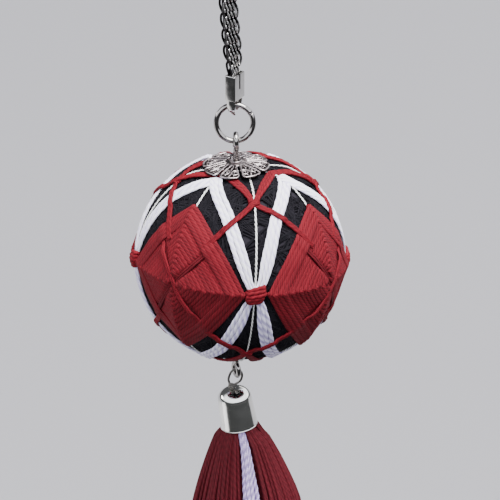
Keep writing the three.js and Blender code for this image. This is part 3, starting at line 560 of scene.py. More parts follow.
def clamp_bundle():
    """A folded sheet box that is open at its top and closed at its foot, with slightly rounded ends."""
    outline = rounded_outline(*CLAMP_HALF, 0.16)
    inner = rounded_outline(*(half - CLAMP_SHEET for half in CLAMP_HALF), 0.1)
    foot, top = CLAMP_FOOT, CLAMP_TOP
    outside = [(0.02, foot), (0.94, foot), (0.985, foot + 0.08), (1.0, foot + 0.2), (1.0, 2.6), (1.0, 4.2),
               (1.0, top - 0.15), (0.985, top - 0.05), (0.96, top)]
    inside = [(1.04, top), (1.0, top - 0.1), (1.0, CLAMP_WELL), (0.02, CLAMP_WELL)]
    skin = [level_ring(outline * k, z) for k, z in outside] + [level_ring(inner * k, z) for k, z in inside]
    bundle = Bundle()
    bundle.grid(np.array(skin)[::-1], wrap_u=True, wrap_v=True)
    return bundle


def prong_bundle(rows, thick=0.36):
    """A tongue bent down under the ring, from rows of its place across, height and half width."""
    across, height, half = np.asarray(rows, float).T
    fine = smooth_way(np.c_[across, half, height], 0.12)
    half = np.interp(np.linspace(0, 1, len(fine)), np.linspace(0, 1, len(half)), half)
    bundle = Bundle()
    bundle.tube(fine * (1, 0, 1), (0, 1, 0), thick / 2, half, sides=16)
    return bundle


FRONT_PRONG = [(-1.5, 1.5, 0.9), (-1.5, 0.1, 0.84), (-1.2, -1.0, 0.68), (-0.2, -1.9, 0.3)]
BACK_PRONG = [(1.5, 1.5, 0.78), (1.5, 0.3, 0.72), (1.2, -0.5, 0.58), (0.5, -1.12, 0.34)]


def make_clamp(name, node, change):
    """A clamp with two prongs, and its seam cut as a slit into one broad face, with the slit's walls painted
    dark as shade.
    """
    whole = clamp_bundle()
    whole.join(prong_bundle(FRONT_PRONG))
    whole.join(prong_bundle(BACK_PRONG))
    clamp = whole.moved(change).object(name, NICKEL, "nickel", [node])
    outline = rounded_outline(SLIT["half_x"], SLIT["half_y"], 0.08, 3) + (0, SLIT["y"])
    verts = np.vstack([level_ring(outline, SLIT["low"]), level_ring(outline, SLIT["high"])])
    n = len(outline)
    faces = quad_faces(2, n, wrap_columns=True) + [list(range(n))[::-1], list(range(n, 2 * n))]
    cutter = bpy.data.meshes.new(name + "_cut")
    cutter.from_pydata(((change(verts) - HANG_POINT) / 1000).tolist(), [], faces)
    cutting = bpy.data.objects.new(name + "_cut", cutter)
    bpy.context.scene.collection.objects.link(cutting)
    cut = clamp.modifiers.new("slit", "BOOLEAN")
    cut.object, cut.operation, cut.solver = cutting, "DIFFERENCE", "EXACT"
    apply_modifiers(clamp)
    bpy.data.objects.remove(cutting)
    # The slit's walls take near-black metal as painted shade.
    clamp.data.materials.append(PAINTED_SLIT_SHADE)
    clamp.data.set_sharp_from_angle(angle=0.5)
    marks = change(np.array([(0, SLIT["y"], 3.2), (0, SLIT["y"], 6.2), (0, SLIT["y"] - 1, 3.2)]))
    foot, along, outward = marks[0], unit(marks[1] - marks[0]), marks[2] - marks[0]
    for face in clamp.data.polygons:
        spot = np.array(face.center) * 1000 + HANG_POINT - foot
        aside = np.linalg.norm(spot - (spot @ along) * along - (spot @ outward) * outward)
        if aside < 0.3 and -0.6 < spot @ outward < 0.12 and -0.1 < spot @ along < 3.1:
            face.material_index = 1
    return clamp


def apply_modifiers(obj):
    graph = bpy.context.evaluated_depsgraph_get()
    mesh = bpy.data.meshes.new_from_object(obj.evaluated_get(graph))
    obj.modifiers.clear()
    obj.data = mesh


def lower_clamp_place(points):
    return turned(points, CLAMP_TURN, 2) + np.array([STRAP_FOOT[0], STRAP_FOOT[1], RING_TOP_Z])


def upper_clamp_place(points):
    flipped = turned(turned(points, STRAP_TURN, 2), math.pi, 0)
    return flipped + np.array([HANG_POINT[0], HANG_POINT[1], TOP_WIRE_Z])


def make_findings():
    centre = np.array([STRAP_FOOT[0], STRAP_FOOT[1] / 2, (TOP_EYE_Z + RING_TOP_Z) / 2])
    ring = ring_bundle(RING_RADIUS, RING_WIRE, 0.55, 72, lambda p: turned(p, -RING_TILT, 0) + centre)
    ring.object("jump_ring", NICKEL_RING, "nickel", ["ring"])
    make_clamp("crimp", "clamp", lower_clamp_place)
    upper = make_clamp("upper_crimp", "top_clamp", upper_clamp_place)
    high = np.array([HANG_POINT[0], HANG_POINT[1], TOP_WIRE_Z + TOP_RING_RADIUS])
    small = ring_bundle(TOP_RING_RADIUS, TOP_RING_WIRE, 2.2, 60,
                        lambda p: turned(p, math.pi / 2 - STRAP_TURN, 2) + high)
    return upper, small.object("upper_ring", NICKEL, "nickel", ["top_ring"])


# where each eye's wire starts, its middle, its turn about the pin, and the neck that leads into the ball
EYES = [
    {"height": TOP_EYE_Z, "start": -math.pi / 2, "middle": 1.5, "turn": 0.0,
     "neck": [(0, -0.05, TOP_EYE_Z - EYE_RADIUS - 0.5), (0, 0, TOP_EYE_Z - EYE_RADIUS - 1.1), (0, 0, 19.0),
              (0, 0, 17.5)]},
    {"height": LOW_EYE_Z, "start": math.pi / 2, "middle": 4.7, "turn": LOW_EYE_TURN,
     "neck": [(0, 0, LOW_EYE_Z + EYE_RADIUS + 0.6), (0, 0, -20.4), (0, 0, -18.0)]},
]


def make_pin():
    pin = Bundle()
    for eye in EYES:
        a = np.linspace(eye["start"] + 0.42, eye["start"] + 2 * math.pi - 0.1, 44)
        loop = np.stack([0.12 * (a - eye["middle"]) / 3, EYE_RADIUS * np.cos(a), EYE_RADIUS * np.sin(a)], -1)
        loop = turned(loop, eye["turn"]) + np.array([0, 0, eye["height"]])
        way = np.vstack([loop, smooth_way([loop[-1]] + eye["neck"], 0.3)[1:]])
        pin.tube(way, (1, 0, 0), PIN_WIRE, sides=14)
    pin.tube([(0, 0, -18.2), (0, 0, 0), (0, 0, 17.8)], (1, 0, 0), PIN_WIRE, sides=14)
    pin.object("eye_pin_wire", NICKEL_RING, "nickel", ["eye_pin"])


# Flower cap: eight stamped petals, each with a raised rim and scrolls
CAP_FLOOR = 20.06
CAP_TURN = math.radians(10)
CAP_PETALS = 8
PETAL_FOOT, PETAL_LENGTH = 1.75, 4.5
SCROLL = {"radius": 4.35, "aside": 0.92, "size": 0.82, "turns": 1.45, "start": 2.6}
RELIEF = {"height": 0.37, "half_w": 0.12, "half_h": 0.13}
# radius and angle from a petal's middle
PETAL_DOTS = [(2.75, 0.2), (2.75, -0.2), (5.35, 0.15), (5.35, -0.15), (3.3, 0.0)]


def cap_point(radius, angle, height):
    """A point of the cap's face at a radius and angle about the pin, with a height above its underside."""
    x, y = radius * np.cos(angle), radius * np.sin(angle)
    floor = CAP_FLOOR + height
    flat = np.hypot(x - BALL_CENTRE[0], y)
    tilt = np.arcsin(np.clip(flat / floor, -1, 1))
    dip = DIP_DEPTH * (1 - smoothstep(DIP_FULL, DIP_GONE, tilt))
    return np.stack(np.broadcast_arrays(x, y, np.sqrt(np.maximum((floor - dip) ** 2 - flat**2, 0))), -1)


def petal_rim(share, border):
    """Radius and half angle of a petal at a share of its length, 0 at its foot and 1 at its tip."""
    radius = PETAL_FOOT + PETAL_LENGTH * share
    half = math.pi / CAP_PETALS - 0.22 / radius
    round_off = np.sqrt(np.clip(1 - (np.clip(share - 0.74, 0, 1) / 0.26) ** 2.6, 0, 1))
    return radius, np.maximum(half * (0.12 + 0.88 * round_off) - border / radius, 0.0)


def relief_line(relief, radius, angle):
    relief.tube(cap_point(radius, angle, RELIEF["height"]), (0, 0, 1), RELIEF["half_w"], RELIEF["half_h"],
                sides=6, tone=0.85)


def make_petal(plate, relief, middle):
    """A dished petal with a raised rim, two scrolls, a stem and dots."""
    share = np.linspace(0, 1, 15)[:, None]
    v = np.linspace(-1, 1, 11)[None, :]
    radius, half = petal_rim(share, 0)
    rr, aa = np.broadcast_arrays(radius, middle + half * v)
    dish = 0.30 - 0.05 * (1 - v**2) * np.sin(math.pi * share)
    plate.shell(cap_point(rr, aa, dish), cap_point(rr, aa, dish * 0 + 0.05), tone=0.1)
    t = np.r_[np.linspace(0.03, 1, 18), np.linspace(1, 0.03, 18)[1:]]
    sign = np.r_[np.ones(18), -np.ones(17)]
    rim_radius, rim_half = petal_rim(t, 0.2)
    rim = cap_point(np.minimum(rim_radius, 6.08), middle + sign * rim_half, 0.4)
    relief.tube(smooth_way(rim, 0.22), (0, 0, 1), 0.19, 0.17, sides=8, tone=0.95)
    for hand in (-1, 1):
        s = np.linspace(0, 1, 26)
        curl = hand * (2 * math.pi * SCROLL["turns"] * s + SCROLL["start"])
        size = SCROLL["size"] * (1 - 0.72 * s)
        x = SCROLL["radius"] + size * np.cos(curl)
        y = hand * SCROLL["aside"] + size * np.sin(curl)
        relief_line(relief, np.hypot(x, y), middle + np.arctan2(y, x))
    stem = np.linspace(2.1, 5.6, 12)
    relief_line(relief, stem, middle + 0.03 * np.sin(3 * stem))
    for place, off in PETAL_DOTS:
        dot = cap_point(place + np.array([-0.1, 0, 0.1]), middle + off, np.array([0.34, 0.42, 0.34]))
        relief.tube(dot, (0.3, 0.2, 1), np.array([0.06, 0.17, 0.06]), sides=6, tone=0.85)


def make_flower_cap():
    plate, relief = Bundle(), Bundle()
    for k in range(CAP_PETALS):
        make_petal(plate, relief, CAP_TURN + 2 * math.pi * (k + 0.5) / CAP_PETALS)
    ring = np.linspace(0, 2 * math.pi, 41)
    rr, aa = np.meshgrid(np.linspace(0.62, 1.95, 5), ring, indexing="ij")
    high = 0.3 + 0.22 * smoothstep(1.3, 0.7, rr)
    plate.shell(cap_point(rr, aa, high), cap_point(rr, aa, high * 0 + 0.03), tone=0.45)
    relief.tube(cap_point(np.full(40, 0.98), ring[:-1], 0.52), (0, 0, 1), 0.16, closed=True, tone=0.9)
    plate.join(relief)
    plate.object("bead_cap", NICKEL_OLD, "nickel", ["flower_cap"])


# Ball: wound black thread, silver guide threads, white and red embroidery
WINDINGS, WINDING_GROUP, WINDING_STEPS = 450, 5, 48
WINDING_HALF = (0.15, 0.1)


def make_ball(rng):
    """The wound ball: groups of nearly parallel turns of thread, over a skin that closes the gaps."""
    body = Bundle()
    polar = np.linspace(0.04, math.pi - 0.04, 60)
    around = np.linspace(0, 2 * math.pi, 96, endpoint=False)
    p, a = np.meshgrid(polar, around, indexing="ij")
    towards = np.stack([np.sin(p) * np.cos(a), np.sin(p) * np.sin(a), np.cos(p)], -1)
    body.grid(on_layer(towards, WOUND_RADIUS - 0.16), wrap_v=True, tone=0.2)
    n, last = len(around), (len(polar) - 1) * len(around)
    body.faces += [list(range(n))[::-1], list(range(last, last + n))]
    t = np.linspace(0, 2 * math.pi, WINDING_STEPS, endpoint=False)[:, None]
    for k in range(WINDINGS):
        if k % WINDING_GROUP == 0:
            pole = unit(rng.normal(size=3))
            first = rng.normal() * 0.12
        pole = unit(pole + 0.012 * rng.normal(size=3))
        across = unit(np.cross(pole, rng.normal(size=3)))
        other = np.cross(pole, across)
        off = first + 0.0125 * (k % WINDING_GROUP)
        ring = unit(math.cos(off) * (np.cos(t) * across + np.sin(t) * other) + math.sin(off) * pole)
        height = WOUND_RADIUS + 0.04 + 0.18 * rng.random()
        body.tube(on_layer(ring, height), ring, *WINDING_HALF, sides=4, closed=True, twist=0.5,
                  tone=rng.uniform(0.1, 0.95), seed=rng.random())
    body.object("wound_ball", BLACK, "black_thread", ["ball"])


def make_guides(rng):
    """The silver threads that divide the ball, from pole to pole under the embroidery, finer below and
    painted darker below the equator as shade.
    """
    silver = Bundle()
    theta = np.linspace(8, 172, 260)
    half = np.interp(theta, [80, 100], [0.175, 0.13])
    # Painted shade: the tone falls below the equator.
    tone = np.repeat(np.interp(theta, [85, 110], [0.55, 0.1]), 8)
    for longitude in TIES + KITES:
        towards = direction(theta, longitude + 0.4 * np.sin(theta / 22))
        silver.tube(on_layer(towards, THREAD_RADIUS), towards, half, 0.8 * half, twist=0.55, lobes=2,
                    depth=0.22, tone=tone, seed=rng.random())
    silver.object("guide_threads", SILVER, "white_thread")


def white_dirs(index, side, lower):
    share = span(index, side) / WHITE_WAY[side][0][1]
    rows = [(t, TIES[index] + side * l * share) for t, l in WHITE_WAY[side]]
    points = np.array([direction(180 - t if lower else t, l) for t, l in rows])
    beyond = unit(points[0] + 0.052 * unit(points[0] - points[1]))
    return unit(smooth_way(np.vstack([beyond, points]), 0.27 / THREAD_RADIUS))


def make_whites(rng):
    # The lower bands take a lower tone: painted shade, as they face down away from the light.
    for name, lower, tone in (("white_upper", False, (0.4, 0.8)), ("white_lower", True, (0.15, 0.4))):
        white = Bundle()
        for index in range(4):
            for side in (-1, 1):
                dirs = white_dirs(index, side, lower)
                share = np.linspace(0, 1, len(dirs))
                pinch = 1 - 0.4 * smoothstep(0.72, 0.97, share)
                over = 0.26 * (1 - smoothstep(0.0, 0.12, share)) if side < 0 else 0.0 * share
                dive = 0.8 * (1 - smoothstep(0.0, 0.028, share))
                radius = 19.58 + over - dive + (0.12 if side > 0 else 0.0) * smoothstep(0.9, 1, share)
                offsets = [o * pinch for o in (-0.8, 0.0, 0.8)]
                strands_over(white, dirs, radius, offsets, 0.43 * pinch, 0.23, rng,
                             twist=0.26, depth=0.06, sides=10, wander=0.06, tone=tone)
        white.object(name + "_threads", WHITE, "white_thread", [name])


def net_dirs(index, side, lower):
    tie = TIES[index]
    share = span(index, side) / span(0, side)
    rows = NET_LOWER["way"] if lower else NET_WAY[side]
    apex, crossing = (NET_LOWER["apex"], NET_LOWER["crossing"]) if lower else (NET_APEX, NET_CROSSING)
    points = [direction(apex, tie - side * span(index, -side)), direction(crossing, tie)]
    points += [direction(t, tie + side * l * share) for t, l in rows]
    beyond = unit(points[0] + 0.06 * unit(points[0] - points[1]))
    start = slerp(points[0], points[1], np.linspace(0, 1, 7))
    return unit(smooth_way(np.vstack([beyond, start, np.array(points[2:])]), THREAD_STEP))


def white_centres(lower):
    return np.vstack([white_dirs(i, s, lower)[9:] for i in range(4) for s in (-1, 1)])


def net_stitch(net, crossing, beside, rng):
    """Three turns of thread that hold the net down where its threads cross."""
    t = np.linspace(-1, 1, 15)[:, None]
    lie = unit(beside - crossing)
    across = unit(np.cross(crossing, lie))
    for k in range(3):
        way = on_layer(crossing, 20.02) + lie * t + across * (0.36 * (k - 1) + 0.12 * t)
        net.tube(way - crossing * (0.5 * t**4), crossing, 0.22, 0.2, twist=0.42, lobes=2, depth=0.14,
                 tone=rng.uniform(0.3, 0.7), seed=rng.random())


def make_net(rng):
    for lower in (False, True):
        net = Bundle()
        whites = white_centres(lower)
        colatitude = NET_LOWER["crossing"] if lower else NET_CROSSING
        for index in range(4):
            crossing = direction(colatitude, TIES[index])
            for side in (1, -1):
                dirs = net_dirs(index, side, lower)
                near = np.arccos(np.clip((dirs @ whites.T).max(1), -1, 1)) * 19.6
                hop = 0.34 * (1 - smoothstep(1.2, 2.2, near))
                meet = np.arccos(np.clip(dirs @ crossing, -1, 1)) * 19.6
                over = (0.3 if side < 0 else 0.0) * (1 - smoothstep(0.8, 2.2, meet))
                share = np.linspace(0, 1, len(dirs))
                dive = 0.9 * (1 - smoothstep(0, 0.04, share)) + 0.1 * smoothstep(0.9, 1, share)
                height = 19.62 + np.maximum(hop, over) - dive
                run = np.cumsum(np.r_[0, np.linalg.norm(np.diff(dirs, axis=0), axis=1)])
                before = run < math.acos(float(np.clip(dirs[0] @ crossing, -1, 1)))
                away = before * smoothstep(0.8, 6.0, meet)
                spread, half = 0.27 + 0.24 * away, 0.27 + 0.08 * away
                strands_over(net, dirs, height, [-spread, 0 * spread, spread], half, 0.24, rng,
                             depth=0.08, wander=0.04)
            net_stitch(net, crossing, direction(colatitude, TIES[index] + 10), rng)
        name = "net_lower" if lower else "net_upper"
        net.object(name + "_threads", RED, "red_thread", [name])


# Kites: nested rows of floss that meet in ridges
KITE_APEX, KITE_BOW = 46, 0.5
KITE_CLEAR = [(6.6, 6.6), (6.6, 6.6), (6.6, 6.6), (6.6, 5.6)]
KITE_TOP = {
    "scale": [0.0, 0.25, 0.5, 0.745, 0.77, 0.86, 0.96, 1.0],
    "top": [20, 20, 19.95, 19.9, 20.1, 20.12, 20, 19.8],
}
INNER_ROWS = 0.76
ROW_PITCH, ROW_HALF = 0.64, (0.48, 0.15)
KITE_REACH = 10.2
KITE_RAISE = 0.38
# colatitude and longitude from a kite's middle, in degrees, of the net's threads through it
UNDER_WAY = {
    -1: [(58, -24), (64, -18.5), (71, -12.8), (78.6, -6.9), (86, -1.2), (92.6, 2.4), (99, 6.5), (106.6, 13),
         (117, 21)],
    1: [(60, 25), (65, 21), (71.5, 16.2), (79.4, 9.5), (86, 3.6), (92, -1), (102.4, -8.4), (112, -16),
        (120, -22)],
}


def kite_corners(index):
    tie, kite = TIES[index], KITES[index]
    following = TIES[0] + 360 if index == 3 else TIES[index + 1]
    left, right = KITE_CLEAR[index]
    corners = [direction(KITE_APEX, kite), direction(90, following - right),
               direction(180 - KITE_APEX, kite), direction(90, tie + left)]
    return direction(90, kite), corners


def kite_side(index, scale, side, t):
    """Directions along one side of a nested row, t from one corner (0) to the next (1)."""
    centre, corners = kite_corners(index)
    a, b = (slerp(centre, corners[c], np.array(scale)) for c in (side, (side + 1) % 4))
    out = unit(np.cross(a, b))
    out = -np.sign(out @ centre) * out
    bow = KITE_BOW / BALL_RADIUS * scale * 4 * t * (1 - t)
    return unit(slerp(a, b, t) + bow[:, None] * out)


def kite_share(index, dirs):
    """How far out in a kite directions lie: 0 at its middle and 1 at its edge."""
    centre, corners = kite_corners(index)
    up = unit(corners[0] - (corners[0] @ centre) * centre)
    east = np.cross(up, centre)
    reach = [math.acos(float(c @ centre)) for c in corners]
    x, y = (np.arctan2(dirs @ axis, dirs @ centre) for axis in (east, up))
    wide = np.where(x * (corners[1] @ east) > 0, reach[1], reach[3])
    return np.abs(x) / wide + np.abs(y) / reach[0]


def under_ways(index):
    """The net's threads through a kite, over its inner rows and under its outer ones."""
    stray = 5.0 if index == 0 else 0.0
    ways = []
    for side, rows in UNDER_WAY.items():
        bulge = [stray * (side > 0) * math.sin(math.pi * (t - 58) / 62) for t, _ in rows]
        points = np.array([direction(t, KITES[index] + l + more) for (t, l), more in zip(rows, bulge)])
        ways.append(unit(smooth_way(points, THREAD_STEP)))
    return ways


def kite_top(scale):
    return np.interp(scale, KITE_TOP["scale"], KITE_TOP["top"])


def kite_ground(kite, index):
    """A thin closed dark ground under the rows, so that no gap between them shows the ball."""
    centre, _ = kite_corners(index)
    t = np.linspace(0, 1, 13)[:-1]
    for lift, flip in ((-0.4, False), (-0.8, True)):
        rings = []
        for scale in np.linspace(0.12, 0.985, 8):
            ring = np.vstack([kite_side(index, scale, c, t) for c in range(4)])
            rings.append(on_layer(ring, kite_top(scale) + lift - 0.2))
        first, around = kite.count, len(ring)
        kite.grid(np.array(rings), wrap_v=True, flip=not flip, tone=0.25)
        kite.add([on_layer(centre, 20.0 + lift)], [], tone=0.25)
        for j in range(around):
            face = [first + j, first + (j + 1) % around, kite.count - 1]
            kite.faces.append(face[::-1] if flip else face)


def kite_row(kite, index, k, side, bright, dark, rng):
    """One side of one row: straight from ridge to ridge, over or under the net's threads."""
    scale = 1 - (k + 0.5) * ROW_PITCH / KITE_REACH
    length = 20.3 * scale
    past = min(0.45 / max(length, 0.5), 0.2)
    s = np.linspace(-past, 1 + past, max(int(length / 0.26), 6))
    dirs = kite_side(index, scale, side, s)
    top = kite_top(scale)
    from_corner = np.clip(np.minimum(s, 1 - s), 0, 0.5) * length / BALL_RADIUS
    reach = min(math.acos((top - 0.28) / (top + KITE_RAISE)), 0.5 * length / BALL_RADIUS)
    chord = (top + KITE_RAISE) * math.cos(reach) / np.cos(np.maximum(reach - from_corner, 0))
    corner = np.exp(-from_corner * BALL_RADIUS / 0.6)
    beyond = np.clip(np.maximum(-s, s - 1), 0, 1) * length
    height = chord - 0.24 + 0.1 * ((side + k) % 2) * corner - 0.5 * smoothstep(0.05, 0.45, beyond)
    sway = 0.035 * np.sin(s * length / (1.3 + rng.random()) + 6.3 * rng.random())
    away_dark, away_bright = (np.arccos(np.clip((dirs @ way.T).max(1), -1, 1)) * BALL_RADIUS
                              for way in (dark, bright))
    if scale < INNER_ROWS:
        height = height - 0.5 * (1 - smoothstep(0.15, 0.8, away_dark))
        height = height - 0.26 * (1 - smoothstep(0.3, 0.8, away_bright))
    else:
        height = height + 0.2 * (1 - smoothstep(0.3, 1.5, np.minimum(away_dark, away_bright)))
    across = unit(np.cross(np.gradient(dirs, axis=0), dirs))
    kite.tube(on_layer(dirs, height) + across * sway[:, None], dirs, *ROW_HALF, sides=14,
              twist=rng.uniform(0.18, 0.24), lobes=5, depth=0.17, tone=rng.uniform(0.3, 0.7),
              seed=rng.random())


def make_kite(index, rng):
    kite = Bundle()
    kite_ground(kite, index)
    ways = under_ways(index)
    # bright and dark name the net's two threads through the kite: one painted lit and one painted in shade
    # by their tone.
    bright, dark = (ways[1], ways[0]) if index in (0, 1) else (ways[0], ways[1])
    for k in range(int(KITE_REACH / ROW_PITCH)):
        for side in range(4):
            kite_row(kite, index, k, side, bright, dark, rng)
    for way in ways:
        share = kite_share(index, way)
        inside = 1 - smoothstep(INNER_ROWS - 0.16, INNER_ROWS + 0.02, share)
        high = THREAD_RADIUS + (0.55 if way is bright else 0.2) * inside
        keep = share < 0.93
        # Painted light: a high tone for the bright thread and a low tone for the dark one.
        strands_over(kite, way[keep], high[keep], [-0.19, 0.19], 0.23, 0.22, rng, depth=0.08, wander=0.02,
                     tone=(0.6, 0.85) if way is bright else (0.0, 0.2))
    kite.object(f"kite_{index + 1}_rows", RED_FLOSS, "red_thread", [f"kite_{index + 1}"])


# height of each turn of a tie, its tilt, its half width and its rise over the threads below
TIE_WRAPS = [(-1.32, 0.2, 1.5, 0.38), (-0.7, 0.26, 1.72, 0.55), (-0.04, 0.34, 1.85, 0.66),
             (0.62, 0.38, 1.8, 0.62), (1.26, 0.46, 1.6, 0.42)]


def make_tie(index, rng):
    """Five turns of thread over the crossing, each going into the ball at either side."""
    tie = Bundle()
    middle = direction(90, TIES[index])
    east = unit(direction(90, TIES[index] + 1) - middle)
    north = np.cross(middle, east)
    north = north if north[2] > 0 else -north
    t = np.linspace(-1, 1, 25)
    for y0, tilt, half, lift in TIE_WRAPS:
        x = half * t * (1 - 0.06 * t**2) + 0.08 * rng.normal()
        y = y0 * (1 - 0.12 * t**2) + tilt * t
        arch = lift * np.sqrt(np.clip(1 - np.abs(t) ** 2.4, 0, 1))
        high = 19.85 + arch - 0.6 * smoothstep(0.84, 1, np.abs(t))
        towards = unit(middle + east * (x / BALL_RADIUS)[:, None] + north * (y / BALL_RADIUS)[:, None])
        tie.tube(on_layer(towards, high), towards, 0.44, 0.36, sides=10, twist=0.4, lobes=2, depth=0.08,
                 tone=rng.uniform(0.4, 0.85), seed=rng.random())
    tie.object(f"tie_{index + 1}_wraps", RED, "red_thread", [f"tie_{index + 1}"])


# Link, bell cap and tassel
BELL = {"x": -0.66, "z": -27.78, "lean": math.radians(8.5)}
LINK_LOOP = [(-0.35, -27.0), (0.45, -26.5), (0.95, -25.8), (1.08, -24.9), (0.78, -24.13), (0.0, -23.85),
             (-0.82, -24.13), (-1.25, -24.9), (-1.5, -26.0), (-1.2, -26.95)]
LINK_KNOT = np.array([-1.0, -0.02, -27.05])


def bell_place(points):
    return turned(points, -BELL["lean"], 1) + np.array([BELL["x"], 0, BELL["z"]])


def make_link():
    """A thin wire through the lower eye, wrapped on itself, with a tail that holds it inside the cap."""
    link = Bundle()
    down = np.array([math.sin(BELL["lean"]), 0, -math.cos(BELL["lean"])])
    stem = np.array([BELL["x"], 0, BELL["z"]])
    tail = [stem + 0.4 * down, stem + 1.6 * down, stem + 2.1 * down + (0.5, 0, 0),
            stem + 1.9 * down + (1.1, 0, 0)]
    link.tube(smooth_way([(x, 0, z) for x, z in LINK_LOOP] + tail, 0.18), (0, 1, 0), 0.225, sides=10)
    a = np.linspace(0, 2 * math.pi, 20, endpoint=False)
    for k in range(3):
        knot = np.stack([0.4 * np.cos(a), 0.4 * np.sin(a), 0.2 * np.cos(a + k) + 0.22 * (k - 1)], -1)
        link.tube(knot + LINK_KNOT, (0, 0, 1), 0.2, closed=True)
    link.object("link_wire", WIRE_DARK, "nickel", ["link"])


# radius and height below the top: the shoulder is an arc, the side widens slowly, and the lip is rounded
BELL_WALL, BELL_SHOULDER = 0.3, 2.45
BELL_SIDE = [(3.2, -1.82), (3.24, -2.1), (3.28, -3.1), (3.4, -5.0), (3.54, -7.55), (3.6, -7.8)]
BELL_LIP = [(3.6, -7.88), (3.52, -7.93), (3.36, -7.9)]


def make_bell():
    arc = [(0.88 + BELL_SHOULDER * math.sin(a), BELL_SHOULDER * (math.cos(a) - 1))
           for a in np.radians(range(8, 72, 9))]
    profile = [(0.34, 0.0), (0.9, -0.01)] + arc + BELL_SIDE
    outside = smooth_way([(r, 0, z) for r, z in profile], 0.11)[:, [0, 2]]
    tangent = unit(np.gradient(outside, axis=0))
    inside = outside + BELL_WALL * np.c_[tangent[:, 1], -tangent[:, 0]]
    inside[:, 0] = np.maximum(inside[:, 0], 0.3)
    bell = Bundle()
    bell.lathe(np.vstack([outside, BELL_LIP, inside[::-1]])[::-1], 72)
    bell.moved(bell_place).object("bell_cap", NICKEL_BELL, "nickel", ["tassel_cap"])


TASSEL_TOP, TASSEL_END = -33.6, -84.5
# the tassel's middle, half width and depth over width at each height
SPREAD = {
    "z": [TASSEL_TOP, -34.4, -36.2, -38.3, -41.5, -45.0, -48.4, -52.0, -60.0, -70.0, TASSEL_END],
    "x": [0.2, 0.28, 0.62, 0.95, 1.2, 1.45, 1.7, 1.9, 2.3, 2.7, 3.0],
    "half": [1.95, 2.1, 3.1, 5.1, 6.5, 7.8, 9.0, 9.9, 11.1, 11.8, 12.1],
    "depth": [1.0, 1.0, 0.97, 0.93, 0.91, 0.9, 0.89, 0.88, 0.88, 0.88, 0.88],
}


def spread_at(z):
    heights = SPREAD["z"][::-1]
    return tuple(np.interp(z, heights, SPREAD[key][::-1]) for key in ("x", "half", "depth"))


def strand_way(share, azimuth, ending, sway):
    """A strand at a share of the tassel's width, to the height of its ending, with a little sway."""
    z = np.r_[np.arange(TASSEL_TOP, -40, -0.7), np.arange(-40, ending, -2.4), ending]
    x, half, depth = spread_at(z)
    s = TASSEL_TOP - z
    angle = azimuth + sway[0] * np.sin(s / 17 + sway[1]) * s / 50
    pull = share * (1 + 0.02 * np.sin(s / 6 + sway[2]) * np.minimum(s / 20, 1))
    return np.stack([x + pull * half * np.sin(angle), -pull * half * depth * np.cos(angle), z], -1)


LOCK_AZIMUTH = math.radians(8)
LOCK_CORDS = [(-1.5, 0.0), (-0.5, 0.35), (0.5, 0.35), (1.5, 0.0), (-1.0, -0.5), (0.0, -0.45), (1.0, -0.5)]
LOCK_OPENING = {"s": [0, 2, 5, 12, 22, 50], "spread": [0.2, 0.27, 0.42, 0.78, 0.92, 0.98],
                "size": [0.16, 0.2, 0.28, 0.38, 0.42, 0.42]}
LOCK_OUT = 1.03
STRAND_SIZE = {"z": [-60, -44, -38, -36, -33], "half": [0.36, 0.33, 0.28, 0.24, 0.18]}
OUTER_STRANDS, RING_STEP = 88, 0.075
# strands that stand beside the cap's rim: out from the rim and height, down to where they join the rest
TUFT = {"strands": 14, "rim": 3.5, "from": 78, "over": 44,
        "ways": [(-0.5, -36.9), (0.05, -36.0), (0.28, -35.3), (0.6, -35.7), (1.1, -36.6)]}


def add_strand(bundle, way, size, flat, rng):
    bundle.tube(way, (0.3, 1, 0.05), size, size * flat, sides=5, tone=rng.uniform(0.2, 0.8),
                seed=rng.random(), spin_fibre=False)


def make_floss(rng):
    """Rings of strands from the outside in, with a place for the white lock, and the tuft beside the rim."""
    red = Bundle()
    for ring in range(int(1 / RING_STEP)):
        count = round(OUTER_STRANDS * (1 - RING_STEP * ring))
        for k in range(count):
            share = 1 - RING_STEP * ring + 0.02 * rng.normal()
            azimuth = 2 * math.pi * (k + 0.5 * (ring % 2) + 0.16 * rng.normal()) / count
            away = (azimuth - LOCK_AZIMUTH + math.pi) % (2 * math.pi) - math.pi
            if share > 0.85 and abs(away) < 0.24:
                continue
            sway = [0.1 * rng.normal(), 6.28 * rng.random(), 6.28 * rng.random()]
            way = strand_way(share, azimuth, TASSEL_END + 1.0 * rng.normal(), sway)
            size = np.interp(way[:, 2], STRAND_SIZE["z"], STRAND_SIZE["half"]) * rng.uniform(0.9, 1.12)
            add_strand(red, way, size, 0.9, rng)
    for k in range(TUFT["strands"]):
        azimuth = math.radians(TUFT["from"] + TUFT["over"] * (k + rng.random()) / TUFT["strands"])
        lower = strand_way(1.0, azimuth, -52 - 6 * rng.random(), [0, 0, 0])
        rise = rng.uniform(-0.5, 0.05)
        top = []
        for out, z in TUFT["ways"]:
            reach = TUFT["rim"] + out
            top.append((BELL["x"] + 0.9 + reach * math.sin(azimuth), -reach * math.cos(azimuth), z + rise))
        way = smooth_way(np.vstack([top, lower[lower[:, 2] < -39]]), 0.5)
        add_strand(red, way, np.interp(way[:, 2], [-40, -36, -34], [0.3, 0.2, 0.15]), 1.0, rng)
    red.object("tassel_floss", RED_TASSEL, "red_thread", ["tassel_red"])


